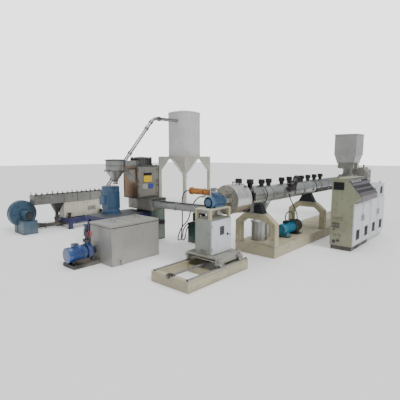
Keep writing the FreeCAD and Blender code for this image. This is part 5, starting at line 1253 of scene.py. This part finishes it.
# ---- screen, blower and air line -------------------------------------------------------------
def tray_details():
    """Rim, side ribs, clamp knobs, discharge lip and mesh bars of the vibrating screen."""
    low, high = extent("screen_tray")
    rim = Piece("tray_rim", long_steel, "sheet_steel")
    for y in (low.y, high.y):
        rim.box((low.x - 6, high.x + 6), (y - 12, y + 12), (high.z - 6, high.z + 3))
    for x in (low.x, high.x):
        rim.box((x - 10, x + 10), (low.y, high.y), (high.z - 6, high.z + 3))
    for x in steps(low.x + 20, high.x - 20, 7):
        for y, way in ((low.y, -1), (high.y, 1)):
            rim.box((x - 5, x + 5), (y, y + way * 16), (low.z + 4, high.z - 6))
    for z in (low.z + 6, low.z + 96):
        for y, way in ((low.y, -1), (high.y, 1)):
            rim.box((low.x, high.x), (y, y + way * 7), (z - 4, z + 4))
    rim.box((high.x, high.x + 22), (low.y + 30, high.y - 30), (low.z + 10, low.z + 60))
    rim.done(1.2)
    clamps = Piece("tray_clamps", black_paint, "black_paint")
    for count, x in enumerate(steps(low.x + 40, high.x - 60, 17)):
        for y, way in ((low.y, 1), (high.y, -1)):
            clamps.slab(at(x, y + way * 14, high.z + 8), Y, Z, (58, 20, 9))
            clamps.rod(5, at(x, y + way * 2, high.z + 6), at(x, y + way * 2, high.z + 34), 12)
            knob_z = high.z + (48 if count % 4 else 72)
            clamps.rod(13, at(x, y + way * 2, high.z + 30), at(x, y + way * 2, knob_z), 8, 9)
    clamps.done(1.0)
    mesh = Piece("tray_mesh", bolt_steel, "bright_steel")
    for x in steps(low.x + 30, high.x - 30, 64):
        mesh.box((x - 2, x + 2), (low.y + 5, high.y - 5), (high.z - 62, high.z - 58))
    for y in steps(low.y + 22, high.y - 22, 9):
        mesh.box((low.x + 5, high.x - 5), (y - 2, y + 2), (high.z - 66, high.z - 62))
    mesh.done(0.3)


def screen_box_details():
    """Panel frames, plate, inspection cover and springs of the vibrator casing and its stand."""
    low, high = extent("screen_box")
    trim = Piece("screen_box_trim", box_paint, "box_paint")
    for x in (low.x, high.x):
        for y in (low.y, high.y):
            trim.box((x - 4, x + 4), (y - 4, y + 4), (low.z, high.z))
    for y, way in ((low.y, -1), (high.y, 1)):
        for x0, x1 in ((low.x + 30, low.x + 500), (low.x + 530, high.x - 30)):
            trim.box((x0, x1), (y, y + way * 5), (low.z + 30, high.z - 30))
    trim.done(1.6)
    plate = Piece("screen_box_plate", machine_grey, "machine_grey")
    plate.box((-560, -330), (low.y - 14, low.y - 5), (380, 480))
    plate.box((-520, -450), (low.y - 22, low.y - 14), (400, 460))
    plate.rod(20, at(-380, low.y - 14, 430), at(-380, low.y - 30, 430), 28)
    plate.done(1.6)
    bolts = Piece("screen_bolts", bolt_steel, "bright_steel")
    bolts.bolts(grid((-548, -342), (low.y - 14,), (390, 470)), -Y, 6, 6)
    bolts.bolts(grid(steps(low.x + 60, high.x - 60, 7), (low.y - 5,), (low.z + 50, high.z - 50)), -Y, 6, 6)
    bolts.done(0.6)
    feet = Piece("stand_feet", navy_paint, "navy_paint")
    for x in (-1155, -185):
        for y in (4600, 5260):
            feet.box((x - 62, x + 62), (y - 60, y + 60), (0, 12))
            feet.box((x - 46, x + 46), (y - 46, y + 46), (250, 262))
    feet.done(1.4)
    springs = Piece("stand_springs", black_paint, "black_paint")
    for x in (-1120, -240):
        for y in (4700, 5150):
            for turn in range(6):
                springs.hoop(34, 6, at(x, y, 268 + turn * 17), Z, 24)
            springs.box((x - 44, x + 44), (y - 70, y + 70), (366, 378))
    springs.done(0.6)


def blower_details():
    """Rims, spokes, bolts, inlet, bearings and pulley of the fan, with funnel and pipe flanges."""
    centre = at(-2070, 5065, 437)
    rims = Piece("blower_rims", blower_blue, "blower_blue")
    for y in (5065, 5209):
        rims.ring(307, 270, at(centre.x, y - 3, centre.z), at(centre.x, y + 9, centre.z))
    rims.ring(170, 110, at(centre.x, 5053, centre.z), at(centre.x, 5065, centre.z))
    for point, ray in spin(Y, at(centre.x, 5058, centre.z), 222, 6, 30):
        rims.slab(point, ray, -Y, (104, 12, 14))
    rims.box((-1780, -1750), (5059, 5221), (18, 182))
    rims.box((-2222, -1908), (4694, 4702), (8, 40))
    rims.box((-2228, -1902), (4694, 5066), (294, 304))
    rims.box((-2228, -1902), (4690, 5070), (0, 10))
    for x in (-2222, -1912):
        rims.box((x - 4, x + 4), (4698, 4706), (10, 294))
    rims.done(1.6)
    dark = Piece("blower_dark", grille_paint, "black_paint")
    dark.rod(44, at(-1912, 4850, 165), at(-1904, 4850, 165), 36)
    dark.rod(66, at(centre.x, 4708, centre.z), at(centre.x, 4682, centre.z), 36)
    for y in (4726, 4700):
        dark.ring(92, 60, at(centre.x, y, centre.z), at(centre.x, y + 10, centre.z))
    dark.ring(118, 92, at(centre.x, 5215, centre.z), at(centre.x, 5228, centre.z))
    for radius in (30, 60, 88):
        dark.hoop(radius, 3, at(centre.x, 5226, centre.z), Y, 32)
    dark.done(1.0)
    bolts = Piece("blower_bolts", bolt_steel, "bright_steel")
    bolts.bolts(circle(Y, at(centre.x, 5062, centre.z), 289, 20), -Y, 6, 8)
    bolts.bolts(circle(Y, at(centre.x, 5053, centre.z), 140, 8), -Y, 6, 7)
    bolts.bolts(grid((-2195, -1935), (4730, 5030), (304,)), Z, 8, 10)
    bolts.bolts(grid((-1904,), (4760, 4980), (60, 250)), X, 6, 6)
    bolts.ring(52, 42, at(-1910, 4850, 165), at(-1902, 4850, 165))
    bolts.done(0.6)
    lines = Piece("air_line_flanges", bolt_steel, "bright_steel")
    for x in (-1540, -1100, -700):
        lines.ring(66, 50, at(x - 8, 5140, 75), at(x + 8, 5140, 75))
    lines.ring(60, 50, at(-587, 5140, 75), at(-600, 5140, 75))
    lines.done(1.0)
    funnel = Piece("funnel_flange", black_paint, "black_paint")
    mouth_x, mouth_y = -1325, 4927.5
    for side in (-1, 1):
        funnel.box((mouth_x - 140, mouth_x + 140), (mouth_y + side * 108, mouth_y + side * 128), (628, 640))
        funnel.box((mouth_x + side * 124, mouth_x + side * 144), (4800, 5055), (628, 640))
    funnel.ring(52, 40, at(-1322, 4935, 425), at(-1320, 4941, 414))
    funnel.ring(60, 42, at(-1290, 5045, 240), at(-1286, 5056, 222))
    funnel.done(1.0)


def riser_details():
    """Pipe couplings of the conveying riser."""
    rise = math.radians(49)
    line_x, line_y, line_z, top_z = -587, 5140, 75, 2941
    way = at(math.cos(rise), 0, math.sin(rise))
    foot = at(line_x + 300 * math.tan(rise / 2), line_y, line_z)
    climb = (top_z - line_z) / math.sin(rise)
    joints = Piece("riser_couplings", coupling_steel, "bright_steel")
    for share in (0.06, 0.36, 0.62, 0.885, 0.955):
        spot = foot + way * climb * share
        joints.ring(63, 49, spot - way * 34, spot + way * 34)
        joints.ring(70, 60, spot - way * 26, spot - way * 16)
        joints.ring(70, 60, spot + way * 16, spot + way * 26)
        joints.slab(spot - Y * 68, way, -Y, (60, 22, 16))
    top = foot + way * climb
    for x in (top.x + 190, top.x + 260):
        joints.ring(70, 49, at(x - 9, line_y, top_z), at(x + 9, line_y, top_z))
    joints.done(1.2)


# ---- silo ------------------------------------------------------------------------------------
def silo_details():
    """Seams, bands, hatch, outlet gate, leg feet and ring bolts of the silo."""
    axis = at(3595, 5310, 0)
    seams = Piece("silo_seams", silo_paint, "silo_paint")
    seams.ring(556, 548, axis + Z * 1748, axis + Z * 1766)
    seams.ring(553.5, 548, axis + Z * 2490, axis + Z * 2500)
    seams.ring(560, 546, axis + Z * 3222, axis + Z * 3242)
    for point, ray in spin(Z, axis + Z * 2490, 551, 3, 200):
        seams.slab(point, Z, ray, (1460, 14, 4))
    seams.ring(232, 196, axis + Z * 3278, axis + Z * 3292)
    seams.box((3560, 3630), (5080, 5110), (3283, 3300))
    seams.done(1.0)
    rods = Piece("silo_hatch", bolt_steel, "bright_steel")
    for y in (5230, 5390):
        rods.rod(7, at(axis.x, y, 3301), at(axis.x, y, 3312), 12)
    rods.rod(8, at(axis.x, 5224, 3306), at(axis.x, 5396, 3306), 16)
    rods.bolts(circle(Z, axis + Z * 3292, 222, 10), Z, 6, 6)
    rods.bolts(circle(Z, axis + Z * 1070, 72, 8), Z, 6, 8)
    rods.done(0.7)
    gate = Piece("silo_gate", machine_grey, "machine_grey")
    gate.ring(84, 62, axis + Z * 1058, axis + Z * 1070)
    gate.ring(66, 60.5, axis + Z * 1000, axis + Z * 1012)
    gate.rod(9, at(axis.x, 5248, 1030), at(axis.x, 5160, 1030), 16)
    gate.rod(15, at(axis.x, 5176, 1030), at(axis.x, 5150, 1030), 20)
    gate.done(1.0)
    feet = Piece("silo_feet", silo_frame, "silo_frame")
    bolts = Piece("silo_bolts", bolt_steel, "bright_steel")
    for sx in (-1, 1):
        for sy in (-1, 1):
            x = axis.x + sx * 610
            y = axis.y + sy * 610
            feet.box((x + sx * 40, x - sx * 62), (y + sy * 40, y - sy * 62), (0, 12))
            bolts.bolts([at(x - sx * 52, y, 12), at(x, y - sy * 52, 12)], Z, 7, 12)
            bolts.bolts([at(x - sx * 60, y - sy * 60, 1748)], Z, 9, 12)
    feet.done(1.4)
    bolts.done(0.7)


# ---- hoses -----------------------------------------------------------------------------------
PRESSURE_HOSE = (
    (-412.5, 1265, 1112), (-412.5, 1345, 1112), (-412, 1432, 1066), (-412, 1480, 975), (-411, 1490, 860),
    (-413, 1484, 730), (-410, 1487, 590), (-413, 1481, 465), (-410, 1494, 350), (-412, 1508, 250),
    (-411, 1514, 182), (-404, 1523, 122), (-376, 1531, 80), (-329, 1541, 65), (-282, 1551, 80),
    (-253, 1556, 120), (-247, 1551, 190), (-254, 1520, 275), (-257, 1460, 365), (-236, 1408, 422),
    (-176, 1375, 440), (-130, 1375, 440))
RETURN_HOSE = (
    (-412.5, 930, 1018), (-412.5, 990, 1018), (-411, 1065, 984), (-413, 1135, 922), (-411, 1200, 838),
    (-413, 1250, 740), (-418, 1276, 632), (-430, 1303, 532), (-445, 1362, 458), (-455, 1428, 400),
    (-459, 1492, 306), (-456, 1545, 205), (-450, 1578, 125), (-424, 1594, 82), (-378, 1606, 62),
    (-330, 1612, 72), (-290, 1615, 106), (-270, 1612, 166), (-280, 1594, 242), (-290, 1550, 312),
    (-286, 1500, 375), (-245, 1460, 420), (-185, 1430, 440), (-130, 1430, 440))
VACUUM_HOSE = (
    (862, -190, 1090), (862, -190, 1035), (885, -195, 965), (945, -198, 890), (1030, -200, 805),
    (1110, -202, 718), (1175, -203, 628), (1207, -204, 545), (1198, -205, 478), (1140, -204, 445),
    (1072, -200, 458), (1042, -192, 518), (1056, -185, 590), (1030, -178, 655), (960, -171, 690),
    (875, -164, 690), (808, -157, 645), (798, -148, 572), (850, -136, 516), (930, -120, 490),
    (1015, -105, 483), (1090, -105, 483))


def hose(node, points, radius):
    """Rubber hose on one smooth curve through its route, with a crimped ferrule at each end."""
    data = bpy.data.curves.new(node + "_curve", "CURVE")
    data.dimensions = "3D"
    data.resolution_u = 10
    data.bevel_depth = radius * MM
    data.bevel_resolution = 5
    data.use_fill_caps = True
    spline = data.splines.new("NURBS")
    spline.points.add(len(points) - 1)
    for spot, point in zip(spline.points, points):
        spot.co = (*(v * MM for v in point), 1.0)
    spline.order_u = 3
    spline.use_endpoint_u = True
    data.materials.append(rubber_and_painted_shadow)
    piece = bpy.data.objects.new(node + "_rubber", data)
    bpy.context.scene.collection.objects.link(piece)
    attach(piece, "line")
    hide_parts(node)
    ends = Piece(node + "_ferrules", bright_steel, "bright_steel")
    for tip, after in ((points[0], points[1]), (points[-1], points[-2])):
        start = Vector(tip)
        way = (Vector(after) - start).normalized()
        ends.lathe(start, way, [(radius - 1, 0), (radius + 3, 0), (radius + 4, 4), (radius + 4, 30),
                                (radius - 1, 36)], 28)
        for groove in (10, 18, 26):
            ends.ring(radius + 5, radius, start + way * groove, start + way * (groove + 3))
    ends.done(0.5)
    tuple(v * MM for v in points[0])


base_details()
cover_details()
terminal_details()
vent_details()
vacuum_details()
changer_details()
hydraulic_details()
hopper_details()
drive_details()
cabinet_end()
console_face()
cabinet_doors()
trolley_fixed()
wheel_details()
trolley_top()
trolley_door_details()
trough_details()
tank_details()
platform_details()
housing_details()
bowl_details()
tray_details()
screen_box_details()
blower_details()
riser_details()
silo_details()
hose("pressure_hose", PRESSURE_HOSE, 11)
hose("return_hose", RETURN_HOSE, 11)
hose("vacuum_hose", VACUUM_HOSE, 10)


# ---- floor, light and camera -----------------------------------------------------------------
def floor():
    """Pale studio floor."""
    data = bpy.data.meshes.new("studio_floor")
    low, high = -40.0, 60.0
    corners = [(low, low, 0), (high, low, 0), (high, high, 0), (low, high, 0)]
    data.from_pydata(corners, [], [(0, 1, 2, 3)])
    ground = finish("studio_floor", (0.93, 0.93, 0.93, 1.0), rough=0.7, mottle=0.01, dirt=0.0, dust=0.0,
                    streaks=0.0)
    data.materials.append(ground)
    piece = bpy.data.objects.new("studio_floor", data)
    bpy.context.scene.collection.objects.link(piece)


def sun(name, toward, spread, power):
    """Wide soft sun that shines from a direction."""
    data = bpy.data.lights.new(name, "SUN")
    data.angle = math.radians(spread)
    data.energy = power
    light = bpy.data.objects.new(name, data)
    light.rotation_euler = Vector(toward).to_track_quat("Z", "Y").to_euler()
    bpy.context.scene.collection.objects.link(light)


floor()
sun("key_light", (-0.1, -1.0, 1.0), 25, 1.85)
sun("top_light", (0.1, 0.1, 1.0), 60, 1.8)
world = bpy.data.worlds.new("studio")
world.use_nodes = True
tree = world.node_tree
soft = tree.nodes["Background"]
soft.inputs["Color"].default_value = (0.96, 0.98, 1.0, 1.0)
soft.inputs["Strength"].default_value = 0.46
backdrop = tree.nodes.new("ShaderNodeBackground")
backdrop.inputs["Color"].default_value = (1.0, 1.0, 1.0, 1.0)
backdrop.inputs["Strength"].default_value = 2.55
choose = tree.nodes.new("ShaderNodeMixShader")
tree.links.new(tree.nodes.new("ShaderNodeLightPath").outputs["Is Camera Ray"], choose.inputs[0])
tree.links.new(soft.outputs[0], choose.inputs[1])
tree.links.new(backdrop.outputs[0], choose.inputs[2])
tree.links.new(choose.outputs[0], tree.nodes["World Output"].inputs[0])
bpy.context.scene.world = world

lens = bpy.data.cameras.new("camera")
lens.lens = 31.33
lens.sensor_width = 36.0
lens.clip_end = 200.0
camera = bpy.data.objects.new("camera", lens)
camera.location = (-5.333, -3.365, 1.8)
camera.rotation_euler = (math.radians(90 - 7.365), 0.0, math.radians(-48.37))
bpy.context.scene.collection.objects.link(camera)
bpy.context.scene.camera = camera
